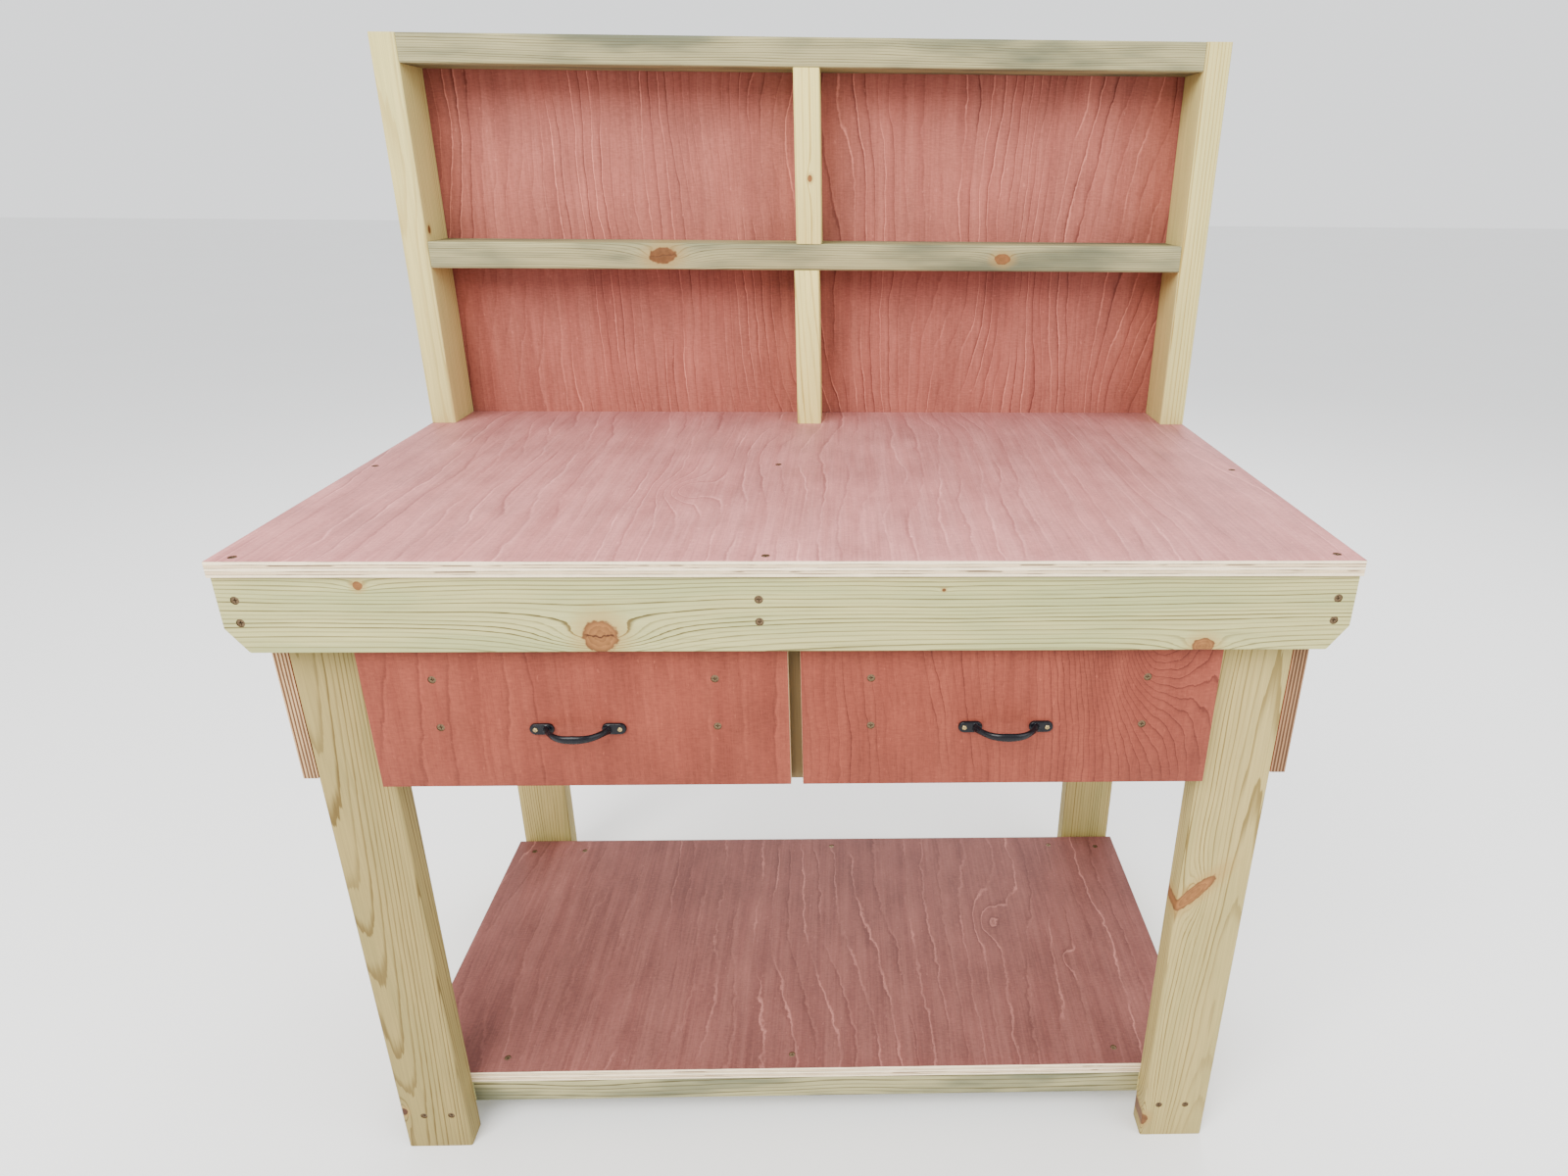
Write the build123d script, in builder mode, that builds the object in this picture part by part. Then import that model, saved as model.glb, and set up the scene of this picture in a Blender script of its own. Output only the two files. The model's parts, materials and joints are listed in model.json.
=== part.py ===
"""Potting bench: a pine frame with a plywood worktop, lower shelf, back board and two drawers.

Millimetres. X runs along the bench, the drawers face -Y and +Z is up. The origin is the middle of the
whole bench's footprint, on the ground.
"""

import os

from build123d import *

os.makedirs("parts", exist_ok=True)

# Driving dimensions of the bench.
BENCH_LENGTH = 1220.0
WORKTOP_DEPTH = 735.0
WORKTOP_HEIGHT = 905.0
BACK_HEIGHT = 548.0
MID_RAIL_RISE = 236.0  # from the worktop to the underside of the middle rail
SHELF_TOP = 100.0
SHELF_DEPTH = 554.0

# Timber and sheet sizes.
THICK = 38.0
WIDE = 89.0
EASED = 3.0
PLY = 18.0
BOX_PLY = 12.0
BACK_PLY = 12.0
BOTTOM_PLY = 6.0

# How far the aprons stand in from the worktop's edges, and the sawn-off apron corners.
APRON_INSET = 4.0
END_INSET = 2.0
CLIP_LENGTH = 22.0
CLIP_HEIGHT = 30.0

# Drawers.
DRAWER_FRONT_LENGTH = 477.0
DRAWER_FRONT_HEIGHT = 179.0
DRAWER_TOP_GAP = 3.0
DRAWER_STOP_GAP = 1.0
DRAWER_MEETING_GAP = 14.0
DRAWER_MEETING_X = -3.0
BOX_DEPTH = 556.0
BOX_HEIGHT = 140.0
BOX_RISE = 21.0  # from the underside of the drawer's front to the underside of its box
FRONT_SCREW_STEPS = (-159.0, 156.0)
FRONT_SCREW_LEVELS = (79.0, 140.0)

# Telescopic runner: a fixed channel outside and a drawer channel inside it.
RUNNER_SPACE = 13.0
RUNNER_LENGTH = 550.0
RUNNER_STEEL = 1.4
FIXED_HEIGHT = 45.0
FIXED_REACH = 9.4
MOVING_HEIGHT = 32.0
MOVING_REACH = 8.5
RUNNER_SCREW_STEPS = (12.0, 190.0, 360.0, 530.0)

# Handle.
HANDLE_HOLES = 96.0
HANDLE_LEVEL = 77.5
HANDLE_SHIFT = -3.0
LUG_RADIUS = 7.0
LUG_TAIL = 14.0  # how far a lug runs in from its screw towards the bow
LUG_HEIGHT = 4.0
LUG_HOLE_PLAY = 0.3
BOW_FOOT = 36.0
BOW_SHOULDER = 22.0
BOW_FOOT_BEND = 5.0
BOW_SHOULDER_BEND = 12.0
BOW_REACH = 27.6
BOW_HALF_HEIGHT = 4.0
BOW_HALF_DEPTH = 3.4

# Screws: head radius, shank radius and how deep a head sinks below the surface.
HEAD_RADIUS = 4.3
SHANK_RADIUS = 2.0
SINK = 1.0
HEAD_RIM = 0.4
POINT_LENGTH = 6.0
RECESS_LENGTH = 4.7
RECESS_WIDTH = 1.1
RECESS_DEPTH = 1.6
HOLE_HEAD_RADIUS = 4.7
HOLE_RADIUS = 2.6
FRAME_SCREW = 70.0
SHEET_SCREW = 45.0
FRONT_SCREW = 28.0
SMALL_HEAD_RADIUS = 3.2
SMALL_SHANK_RADIUS = 1.5
SMALL_HEAD_HEIGHT = 1.6
HANDLE_SCREW = 16.0
FIXED_RUNNER_SCREW = 16.0
BOX_RUNNER_SCREW = 10.0

# Places worked out from the sizes above.
HANDLE_REACH = BOW_REACH + BOW_HALF_DEPTH
HANDLE_OVERHANG = HANDLE_REACH - (APRON_INSET + THICK - PLY - DRAWER_STOP_GAP)
TOP_FRONT = HANDLE_OVERHANG - (HANDLE_OVERHANG + WORKTOP_DEPTH + BACK_PLY) / 2
TOP_BACK = TOP_FRONT + WORKTOP_DEPTH
APRON_FRONT = TOP_FRONT + APRON_INSET
LEG_FRONT = APRON_FRONT + THICK
BACK_APRON_FRONT = TOP_BACK - THICK
BACK_LEG_FRONT = BACK_APRON_FRONT - THICK
HALF = BENCH_LENGTH / 2
APRON_HALF = HALF - END_INSET
LEG_OUT = APRON_HALF - THICK
LEG_IN = LEG_OUT - WIDE
FRAME_TOP = WORKTOP_HEIGHT - PLY
APRON_BOTTOM = FRAME_TOP - WIDE
DRAWER_BOTTOM = APRON_BOTTOM - DRAWER_TOP_GAP - DRAWER_FRONT_HEIGHT
BOX_BOTTOM = DRAWER_BOTTOM + BOX_RISE
RUNNER_LEVEL = BOX_BOTTOM + BOTTOM_PLY + FIXED_HEIGHT / 2
RAIL_BOTTOM = RUNNER_LEVEL - WIDE / 2
SHELF_BOTTOM = SHELF_TOP - PLY
RAIL_FOOT = SHELF_BOTTOM - THICK
SHELF_FRONT = LEG_FRONT + THICK
SHELF_BACK = SHELF_FRONT + SHELF_DEPTH
POST = THICK / 2
UPRIGHT_FRONT = TOP_BACK - WIDE
BACK_TOP = WORKTOP_HEIGHT + BACK_HEIGHT
MID_RAIL_BOTTOM = WORKTOP_HEIGHT + MID_RAIL_RISE
MID_RAIL_TOP = MID_RAIL_BOTTOM + THICK
TOP_RAIL_BOTTOM = BACK_TOP - THICK

FRONTWARD = (0, -1, 0)
BACKWARD = (0, 1, 0)
UPWARD = (0, 0, 1)


def spot(x, y, z, facing):
    """A screw's place: on the surface, its plane's normal facing out of the wood."""
    return Plane(origin=(x, y, z), z_dir=facing).location


def keep(piece, label):
    """Labels a finished piece and writes its STEP."""
    piece.label = label
    export_step(piece, f"parts/{label}.step")


# A screw's hole in the piece under its head: a sunk cone over a clearance hole.
HOLE_OUTLINE = [
    (0, 1),
    (HOLE_HEAD_RADIUS, 1),
    (HOLE_HEAD_RADIUS, -SINK),
    (HOLE_RADIUS, -SINK - HOLE_HEAD_RADIUS + HOLE_RADIUS),
    (HOLE_RADIUS, -THICK - 1),
    (0, -THICK - 1),
]
with BuildPart() as sunk_hole:
    with BuildSketch(Plane.XZ):
        with BuildLine():
            Polyline(*HOLE_OUTLINE, close=True)
        make_face()
    revolve(axis=Axis.Z)


def wood_screw(length):
    """A countersunk screw with a cross recess, its head's top one sink below the origin."""
    neck = -SINK - HEAD_RADIUS + SHANK_RADIUS
    outline = [
        (0, -SINK),
        (HEAD_RADIUS, -SINK),
        (HEAD_RADIUS, -SINK - HEAD_RIM),
        (SHANK_RADIUS, neck - HEAD_RIM),
        (SHANK_RADIUS, -length + POINT_LENGTH),
        (0, -length),
    ]
    with BuildPart() as screw:
        with BuildSketch(Plane.XZ):
            with BuildLine():
                Polyline(*outline, close=True)
            make_face()
        revolve(axis=Axis.Z)
        with BuildSketch(Plane.XY.offset(-SINK)):
            Rectangle(RECESS_LENGTH, RECESS_WIDTH)
            Rectangle(RECESS_WIDTH, RECESS_LENGTH)
        extrude(amount=-RECESS_DEPTH, mode=Mode.SUBTRACT)
    return screw.part


def pan_screw(length):
    """A small pan-head screw, its head standing on the origin's plane."""
    with BuildPart() as screw:
        Cylinder(SMALL_HEAD_RADIUS, SMALL_HEAD_HEIGHT, align=(Align.CENTER, Align.CENTER, Align.MIN))
        fillet(screw.edges().group_by(Axis.Z)[-1], SMALL_HEAD_HEIGHT * 0.6)
        Cylinder(SMALL_SHANK_RADIUS, length, align=(Align.CENTER, Align.CENTER, Align.MAX))
    return screw.part


def screw_group(label, screw, spots):
    """All of one kind of screw in one node, each a solid of its own."""
    with BuildPart() as group:
        with Locations(*spots):
            add(screw)
    keep(group.part, label)


def timber(label, low, high, grain, holes=()):
    """A planed length of pine between two corners, its long edges eased."""
    size = Vector(*high) - Vector(*low)
    middle = (Vector(*low) + Vector(*high)) * 0.5
    if grain == "X":
        end = Plane(origin=(low[0], middle.Y, middle.Z), x_dir=(0, 1, 0), z_dir=(1, 0, 0))
        section, length = (size.Y, size.Z), size.X
    elif grain == "Y":
        end = Plane(origin=(middle.X, low[1], middle.Z), x_dir=(1, 0, 0), z_dir=(0, 1, 0))
        section, length = (size.X, size.Z), size.Y
    else:
        end = Plane(origin=(middle.X, middle.Y, low[2]))
        section, length = (size.X, size.Y), size.Z
    with BuildPart() as piece:
        with BuildSketch(end):
            RectangleRounded(*section, EASED)
        extrude(amount=length)
        if holes:
            with Locations(*holes):
                add(sunk_hole.part, mode=Mode.SUBTRACT)
    keep(piece.part, label)


def sheet(label, low, high, holes=()):
    """A square-cut sheet of plywood between two corners."""
    size = Vector(*high) - Vector(*low)
    middle = (Vector(*low) + Vector(*high)) * 0.5
    with BuildPart() as piece:
        with BuildSketch(Plane(origin=(middle.X, middle.Y, low[2]))):
            Rectangle(size.X, size.Y)
        extrude(amount=size.Z)
        if holes:
            with Locations(*holes):
                add(sunk_hole.part, mode=Mode.SUBTRACT)
    keep(piece.part, label)


# Screws of the frame, by the piece whose face they are driven into.
APRON_SCREW_LEVELS = (WORKTOP_HEIGHT - 45, WORKTOP_HEIGHT - 71)
SIDE_SCREW_LEVELS = (FRAME_TOP - 13, APRON_BOTTOM + 24)  # clear of the apron screws crossing them
JOIST_RIGHT = -POST
JOIST_MIDDLE = JOIST_RIGHT - THICK / 2
FOOT_SCREW_XS = (LEG_OUT - 30, LEG_OUT - 68)
FOOT_SCREW_LEVEL = 60.0
APRON_SCREW_XS = (-LEG_OUT - THICK / 2, JOIST_MIDDLE, LEG_OUT + THICK / 2)
LEG_MIDDLES = (LEG_FRONT + THICK / 2, BACK_LEG_FRONT + THICK / 2)

front_apron_spots = [
    spot(x, APRON_FRONT, z, FRONTWARD) for x in APRON_SCREW_XS for z in APRON_SCREW_LEVELS
]
back_apron_spots = [
    spot(x, TOP_BACK, z, BACKWARD) for x in APRON_SCREW_XS for z in APRON_SCREW_LEVELS
]


def side_apron_spots(side):
    """Screws through a side apron into the front and back legs."""
    return [
        spot(side * APRON_HALF, y, z, (side, 0, 0)) for y in LEG_MIDDLES for z in SIDE_SCREW_LEVELS
    ]


def foot_spots(side, face, facing):
    """Screws through the foot of a leg into the end of a shelf side rail."""
    return [spot(side * x, face, FOOT_SCREW_LEVEL, facing) for x in FOOT_SCREW_XS]


# Worktop frame: aprons all round and one joist from front to back.
with BuildPart() as front_apron:
    with BuildSketch(Plane(origin=(0, APRON_FRONT, 0), x_dir=(1, 0, 0), z_dir=FRONTWARD)):
        with BuildLine():
            Polyline(
                (-APRON_HALF, FRAME_TOP),
                (APRON_HALF, FRAME_TOP),
                (APRON_HALF, APRON_BOTTOM + CLIP_HEIGHT),
                (APRON_HALF - CLIP_LENGTH, APRON_BOTTOM),
                (-APRON_HALF + CLIP_LENGTH, APRON_BOTTOM),
                (-APRON_HALF, APRON_BOTTOM + CLIP_HEIGHT),
                close=True,
            )
        make_face()
    extrude(amount=-THICK)
    fillet(front_apron.edges().filter_by(Axis.X), EASED)
    with Locations(*front_apron_spots):
        add(sunk_hole.part, mode=Mode.SUBTRACT)
keep(front_apron.part, "front_apron")

timber(
    "back_apron",
    (-APRON_HALF, BACK_APRON_FRONT, APRON_BOTTOM),
    (APRON_HALF, TOP_BACK, FRAME_TOP),
    "X",
    back_apron_spots,
)
timber(
    "centre_joist",
    (JOIST_RIGHT - THICK, LEG_FRONT, APRON_BOTTOM),
    (JOIST_RIGHT, BACK_APRON_FRONT, FRAME_TOP),
    "Y",
)
SIDES = (("left", -1), ("right", 1))
frame_spots = front_apron_spots + back_apron_spots
for name, side in SIDES:
    near, far = sorted((side * LEG_OUT, side * APRON_HALF))
    spots = side_apron_spots(side)
    frame_spots += spots
    timber(
        f"{name}_side_apron",
        (near, LEG_FRONT, APRON_BOTTOM),
        (far, BACK_APRON_FRONT, FRAME_TOP),
        "Y",
        spots,
    )
    near, far = sorted((side * LEG_IN, side * LEG_OUT))
    spots = foot_spots(side, LEG_FRONT, FRONTWARD)
    frame_spots += spots
    timber(f"{name}_front_leg", (near, LEG_FRONT, 0), (far, SHELF_FRONT, FRAME_TOP), "Z", spots)
    spots = foot_spots(side, BACK_APRON_FRONT, BACKWARD)
    frame_spots += spots
    timber(
        f"{name}_back_leg", (near, BACK_LEG_FRONT, 0), (far, BACK_APRON_FRONT, FRAME_TOP), "Z", spots
    )
    timber(
        f"{name}_shelf_side_rail",
        (near, SHELF_FRONT, RAIL_FOOT),
        (far, BACK_LEG_FRONT, SHELF_BOTTOM),
        "Y",
    )
    near, far = sorted((side * LEG_IN, side * (LEG_IN + THICK)))
    timber(
        f"{name}_runner_rail",
        (near, SHELF_FRONT, RAIL_BOTTOM),
        (far, BACK_LEG_FRONT, RAIL_BOTTOM + WIDE),
        "Y",
    )

# Shelf frame between the legs, of rails laid flat.
timber(
    "shelf_front_rail",
    (-LEG_IN, SHELF_FRONT, RAIL_FOOT),
    (LEG_IN, SHELF_FRONT + WIDE, SHELF_BOTTOM),
    "X",
)
timber(
    "shelf_back_rail",
    (-LEG_IN, SHELF_BACK - WIDE, RAIL_FOOT),
    (LEG_IN, SHELF_BACK, SHELF_BOTTOM),
    "X",
)

# Divider between the drawers: two posts hung beside the joist, with a rail between them.
POST_FOOT = DRAWER_BOTTOM - 3
POST_BACK = LEG_FRONT + WIDE
BACK_POST_FRONT = BACK_LEG_FRONT - WIDE
for label, front, back in (
    ("divider_front_post", LEG_FRONT, POST_BACK),
    ("divider_back_post", BACK_POST_FRONT, BACK_LEG_FRONT),
):
    spots = [spot(POST, (front + back) / 2, z, (1, 0, 0)) for z in SIDE_SCREW_LEVELS]
    frame_spots += spots
    timber(label, (-POST, front, POST_FOOT), (POST, back, FRAME_TOP), "Z", spots)
timber(
    "centre_runner_rail",
    (-POST, POST_BACK, RAIL_BOTTOM),
    (POST, BACK_POST_FRONT, RAIL_BOTTOM + WIDE),
    "Y",
)

# Plywood worktop, shelf and side panels.
SCREW_IN = 14.0  # from the worktop's front edge
worktop_spots = [
    spot(x, y, WORKTOP_HEIGHT, UPWARD)
    for x, y in (
        (-HALF + 24, TOP_FRONT + SCREW_IN),
        (JOIST_MIDDLE + 8, TOP_FRONT + SCREW_IN + 3),
        (HALF - 24, TOP_FRONT + SCREW_IN + 6),
        (HALF - 18, TOP_FRONT + 364),
        (-HALF + 20, TOP_FRONT + 380),
        (JOIST_MIDDLE, TOP_FRONT + 390),
    )
]
SHELF_SCREWS = [
    (-437, SHELF_FRONT + 26),
    (-25, SHELF_FRONT + 25),
    (449, SHELF_FRONT + 30),
    (-534, SHELF_BACK - 33),
    (-440, SHELF_BACK - 32),
    (27, SHELF_BACK - 24),
    (444, SHELF_BACK - 26),
    (533, SHELF_BACK - 32),
]
shelf_spots = [spot(x, y, SHELF_TOP, UPWARD) for x, y in SHELF_SCREWS]
sheet(
    "worktop",
    (-HALF, TOP_FRONT, FRAME_TOP),
    (HALF, TOP_BACK, WORKTOP_HEIGHT),
    worktop_spots,
)
sheet(
    "lower_shelf",
    (-LEG_OUT, SHELF_FRONT, SHELF_BOTTOM),
    (LEG_OUT, SHELF_BACK, SHELF_TOP),
    shelf_spots,
)
sheet_spots = worktop_spots + shelf_spots
for name, side in SIDES:
    near, far = sorted((side * LEG_OUT, side * (LEG_OUT + PLY)))
    spots = [
        spot(side * (LEG_OUT + PLY), y, z, (side, 0, 0))
        for y in LEG_MIDDLES
        for z in (DRAWER_BOTTOM + 30, APRON_BOTTOM - 30)
    ]
    sheet_spots += spots
    sheet(
        f"{name}_side_panel",
        (near, LEG_FRONT, DRAWER_BOTTOM),
        (far, BACK_APRON_FRONT, APRON_BOTTOM),
        spots,
    )

# Back frame standing on the worktop: uprights, rails between them and stiles between the rails.
UPRIGHT_SCREW_YS = (UPRIGHT_FRONT + 22, TOP_BACK - 22)
for name, side in SIDES:
    near, far = sorted((side * (HALF - THICK), side * HALF))
    spots = [
        spot(side * HALF, y, z, (side, 0, 0))
        for y in UPRIGHT_SCREW_YS
        for z in (MID_RAIL_BOTTOM + THICK / 2, TOP_RAIL_BOTTOM + THICK / 2)
    ]
    frame_spots += spots
    timber(
        f"{name}_back_upright", (near, UPRIGHT_FRONT, WORKTOP_HEIGHT), (far, TOP_BACK, BACK_TOP), "Z", spots
    )
RAIL_HALF = HALF - THICK
for label, foot in (("back_mid_rail", MID_RAIL_BOTTOM), ("back_top_rail", TOP_RAIL_BOTTOM)):
    timber(label, (-RAIL_HALF, UPRIGHT_FRONT, foot), (RAIL_HALF, TOP_BACK, foot + THICK), "X")
LOWER_STILE_LEFT = -22.0
UPPER_STILE_LEFT = -18.0
for label, left, foot, head in (
    ("back_lower_stile", LOWER_STILE_LEFT, WORKTOP_HEIGHT, MID_RAIL_BOTTOM),
    ("back_upper_stile", UPPER_STILE_LEFT, MID_RAIL_TOP, TOP_RAIL_BOTTOM),
):
    timber(label, (left, UPRIGHT_FRONT, foot), (left + THICK, TOP_BACK, head), "Z")
BACK_SCREW_DROP = 9.0  # clear of the frame screws, which run through the middle of the rails
back_spots = [
    spot(x, TOP_BACK + BACK_PLY, z, BACKWARD)
    for x in (-HALF + THICK / 2, 0, HALF - THICK / 2)
    for z in (
        APRON_BOTTOM + 20,
        WORKTOP_HEIGHT + 90,
        MID_RAIL_TOP - BACK_SCREW_DROP,
        MID_RAIL_TOP + 120,
        BACK_TOP - BACK_SCREW_DROP,
    )
]
sheet_spots += back_spots
sheet(
    "back_panel",
    (-HALF, TOP_BACK, APRON_BOTTOM),
    (HALF, TOP_BACK + BACK_PLY, BACK_TOP),
    back_spots,
)
screw_group("frame_screws", wood_screw(FRAME_SCREW), frame_spots)
screw_group("sheet_screws", wood_screw(SHEET_SCREW), sheet_spots)


def channel(label, fixed_face, facing, height, reach):
    """One steel channel of a runner, its web on the face x = fixed_face and its flanges facing out."""
    half = height / 2
    inner = half - RUNNER_STEEL
    outline = [
        (0, -half),
        (reach, -half),
        (reach, -inner),
        (RUNNER_STEEL, -inner),
        (RUNNER_STEEL, inner),
        (reach, inner),
        (reach, half),
        (0, half),
    ]
    front = Plane(origin=(fixed_face, RUNNER_FRONT, RUNNER_LEVEL), x_dir=(facing, 0, 0), z_dir=FRONTWARD)
    with BuildPart() as piece:
        with BuildSketch(front):
            with BuildLine():
                Polyline(*outline, close=True)
            make_face()
        extrude(amount=-RUNNER_LENGTH)
    keep(piece.part, label)


def pull_handle(label, centre, face, level):
    """A cast bow pull: two lugs with screw holes and a bow swept between them."""
    base = Plane(origin=(centre, face, level), x_dir=(1, 0, 0), z_dir=FRONTWARD)
    plan = Plane(origin=(centre, face, level), x_dir=(1, 0, 0), z_dir=(0, 0, -1))
    half_holes = HANDLE_HOLES / 2
    corners = [
        (-half_holes + 3, BOW_HALF_DEPTH),
        (-BOW_FOOT, BOW_HALF_DEPTH),
        (-BOW_SHOULDER, BOW_REACH),
        (BOW_SHOULDER, BOW_REACH),
        (BOW_FOOT, BOW_HALF_DEPTH),
        (half_holes - 3, BOW_HALF_DEPTH),
    ]
    with BuildPart() as handle:
        with BuildLine(plan) as bow:
            FilletPolyline(
                *corners, radius=[BOW_FOOT_BEND, BOW_SHOULDER_BEND, BOW_SHOULDER_BEND, BOW_FOOT_BEND]
            )
        with BuildSketch(Plane(origin=bow.line @ 0, x_dir=(0, 0, 1), z_dir=bow.line % 0)):
            Ellipse(BOW_HALF_HEIGHT, BOW_HALF_DEPTH)
        sweep()
        with BuildSketch(base):
            with Locations((-half_holes, 0), (half_holes, 0)):
                Circle(LUG_RADIUS)
            with Locations((-half_holes + LUG_TAIL / 2, 0), (half_holes - LUG_TAIL / 2, 0)):
                Rectangle(LUG_TAIL, LUG_RADIUS * 2)
        extrude(amount=LUG_HEIGHT)
        with BuildSketch(base):
            with Locations((-half_holes, 0), (half_holes, 0)):
                Circle(SMALL_SHANK_RADIUS + LUG_HOLE_PLAY)
        extrude(amount=HANDLE_REACH, mode=Mode.SUBTRACT)
        with BuildSketch(base.offset(LUG_HEIGHT)):
            with Locations((-half_holes, 0), (half_holes, 0)):
                Circle(SMALL_HEAD_RADIUS + LUG_HOLE_PLAY)
        extrude(amount=HANDLE_REACH, mode=Mode.SUBTRACT)
    keep(handle.part, label)


# Drawers, each a plywood box with a planted front, on a pair of runners.
FRONT_BACK = LEG_FRONT - DRAWER_STOP_GAP
FRONT_FACE = FRONT_BACK - PLY
RUNNER_FRONT = LEG_FRONT + 2
BOX_BACK = FRONT_BACK + BOX_DEPTH
WALL_FOOT = BOX_BOTTOM + BOTTOM_PLY
BOX_TOP = BOX_BOTTOM + BOX_HEIGHT
BOX_WIDTH = LEG_IN - POST - 2 * RUNNER_SPACE
runner_spots = []
for name, side in SIDES:
    drawer = f"{name}_drawer"
    meeting = DRAWER_MEETING_X + side * DRAWER_MEETING_GAP / 2
    front_left, front_right = sorted((meeting, meeting + side * DRAWER_FRONT_LENGTH))
    front_middle = (front_left + front_right) / 2
    front_spots = [
        spot(front_middle + step, FRONT_FACE, DRAWER_BOTTOM + level, FRONTWARD)
        for step in FRONT_SCREW_STEPS
        for level in FRONT_SCREW_LEVELS
    ]
    sheet(
        f"{drawer}_front",
        (front_left, FRONT_FACE, DRAWER_BOTTOM),
        (front_right, FRONT_BACK, DRAWER_BOTTOM + DRAWER_FRONT_HEIGHT),
        front_spots,
    )
    screw_group(f"{drawer}_front_screws", wood_screw(FRONT_SCREW), front_spots)
    box_left, box_right = sorted((side * (POST + RUNNER_SPACE), side * (LEG_IN - RUNNER_SPACE)))
    inner_left, inner_right = box_left + BOX_PLY, box_right - BOX_PLY
    sheet(f"{drawer}_bottom", (box_left, FRONT_BACK, BOX_BOTTOM), (box_right, BOX_BACK, WALL_FOOT))
    sheet(f"{drawer}_left_wall", (box_left, FRONT_BACK, WALL_FOOT), (inner_left, BOX_BACK, BOX_TOP))
    sheet(f"{drawer}_right_wall", (inner_right, FRONT_BACK, WALL_FOOT), (box_right, BOX_BACK, BOX_TOP))
    sheet(
        f"{drawer}_front_wall",
        (inner_left, FRONT_BACK, WALL_FOOT),
        (inner_right, FRONT_BACK + BOX_PLY, BOX_TOP),
    )
    sheet(
        f"{drawer}_back_wall",
        (inner_left, BOX_BACK - BOX_PLY, WALL_FOOT),
        (inner_right, BOX_BACK, BOX_TOP),
    )
    handle_middle = front_middle + HANDLE_SHIFT
    handle_level = DRAWER_BOTTOM + HANDLE_LEVEL
    pull_handle(f"{drawer}_handle", handle_middle, FRONT_FACE, handle_level)
    handle_spots = [
        spot(handle_middle + step, FRONT_FACE - LUG_HEIGHT, handle_level, FRONTWARD)
        for step in (-HANDLE_HOLES / 2, HANDLE_HOLES / 2)
    ]
    screw_group(f"{drawer}_handle_screws", pan_screw(HANDLE_SCREW), handle_spots)
    box_screw_spots = []
    for hand, box_side, fixed_side, out in (
        ("left", box_left, box_left - RUNNER_SPACE, -1),
        ("right", box_right, box_right + RUNNER_SPACE, 1),
    ):
        channel(f"{drawer}_{hand}_runner_fixed", fixed_side, -out, FIXED_HEIGHT, FIXED_REACH)
        channel(f"{drawer}_{hand}_runner_moving", box_side, out, MOVING_HEIGHT, MOVING_REACH)
        for step in RUNNER_SCREW_STEPS:
            y = RUNNER_FRONT + step
            runner_spots.append(spot(fixed_side - out * RUNNER_STEEL, y, RUNNER_LEVEL, (-out, 0, 0)))
            box_screw_spots.append(spot(box_side + out * RUNNER_STEEL, y, RUNNER_LEVEL, (out, 0, 0)))
    screw_group(f"{drawer}_runner_screws", pan_screw(BOX_RUNNER_SCREW), box_screw_spots)
screw_group("fixed_runner_screws", pan_screw(FIXED_RUNNER_SCREW), runner_spots)
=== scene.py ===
"""Looks of a potting bench: planed pine, red plywood, cast handles, screws, runners and a plain studio."""

import functools
import json
import logging
import math
from collections.abc import Callable, Iterable, Sequence
from dataclasses import dataclass, field
from enum import Enum
from typing import Any

import bmesh
import bpy
from mathutils import Matrix, Vector


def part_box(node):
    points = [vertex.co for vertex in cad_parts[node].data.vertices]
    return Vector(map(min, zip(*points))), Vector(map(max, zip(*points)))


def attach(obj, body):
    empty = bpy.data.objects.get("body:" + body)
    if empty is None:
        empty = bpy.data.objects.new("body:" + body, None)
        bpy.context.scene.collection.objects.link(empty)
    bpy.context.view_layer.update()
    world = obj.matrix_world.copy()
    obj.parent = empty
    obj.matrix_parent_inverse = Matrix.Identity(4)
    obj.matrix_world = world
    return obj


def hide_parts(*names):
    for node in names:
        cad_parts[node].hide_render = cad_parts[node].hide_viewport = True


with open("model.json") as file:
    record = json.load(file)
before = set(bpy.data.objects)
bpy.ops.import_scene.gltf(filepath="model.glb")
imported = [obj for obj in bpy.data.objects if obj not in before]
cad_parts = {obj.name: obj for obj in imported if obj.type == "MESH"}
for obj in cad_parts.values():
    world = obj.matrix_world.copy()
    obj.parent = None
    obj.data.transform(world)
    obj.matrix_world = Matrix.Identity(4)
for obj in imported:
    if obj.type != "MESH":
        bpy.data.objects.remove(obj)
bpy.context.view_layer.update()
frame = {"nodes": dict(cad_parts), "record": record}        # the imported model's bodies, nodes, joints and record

MM = 0.001
LOG = logging.getLogger("potting_bench")
Colour = tuple[float, float, float]
Socket = bpy.types.NodeSocket
BENCH_SCREWS = ("frame_screws", "sheet_screws")
FAR = 1e5  # millimetres, well beyond every board
TOUCH = 0.001 * MM  # how near two places count as one
HEAD_BAND = 1.0 * MM  # how much of each end of a screw is measured to find its head
FACE_LEAN = 0.6  # how squarely a surface looks along the thickness of a sheet to count as its face
SEED_STRIDE = (371.0, 193.0, 87.0)  # how far the figure moves for each step of a board's seed
SURFACE_OUTPUTS = {"Colour": "NodeSocketColor", "Roughness": "NodeSocketFloat", "Height": "NodeSocketFloat"}


class Axis(Enum):
    """The three axes of the bench."""

    X = 0
    Y = 1
    Z = 2

    def unit(self) -> Vector:
        """Unit vector along the axis."""
        return Vector([float(i == self.value) for i in range(3)])


X, Y, Z = Axis


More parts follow.
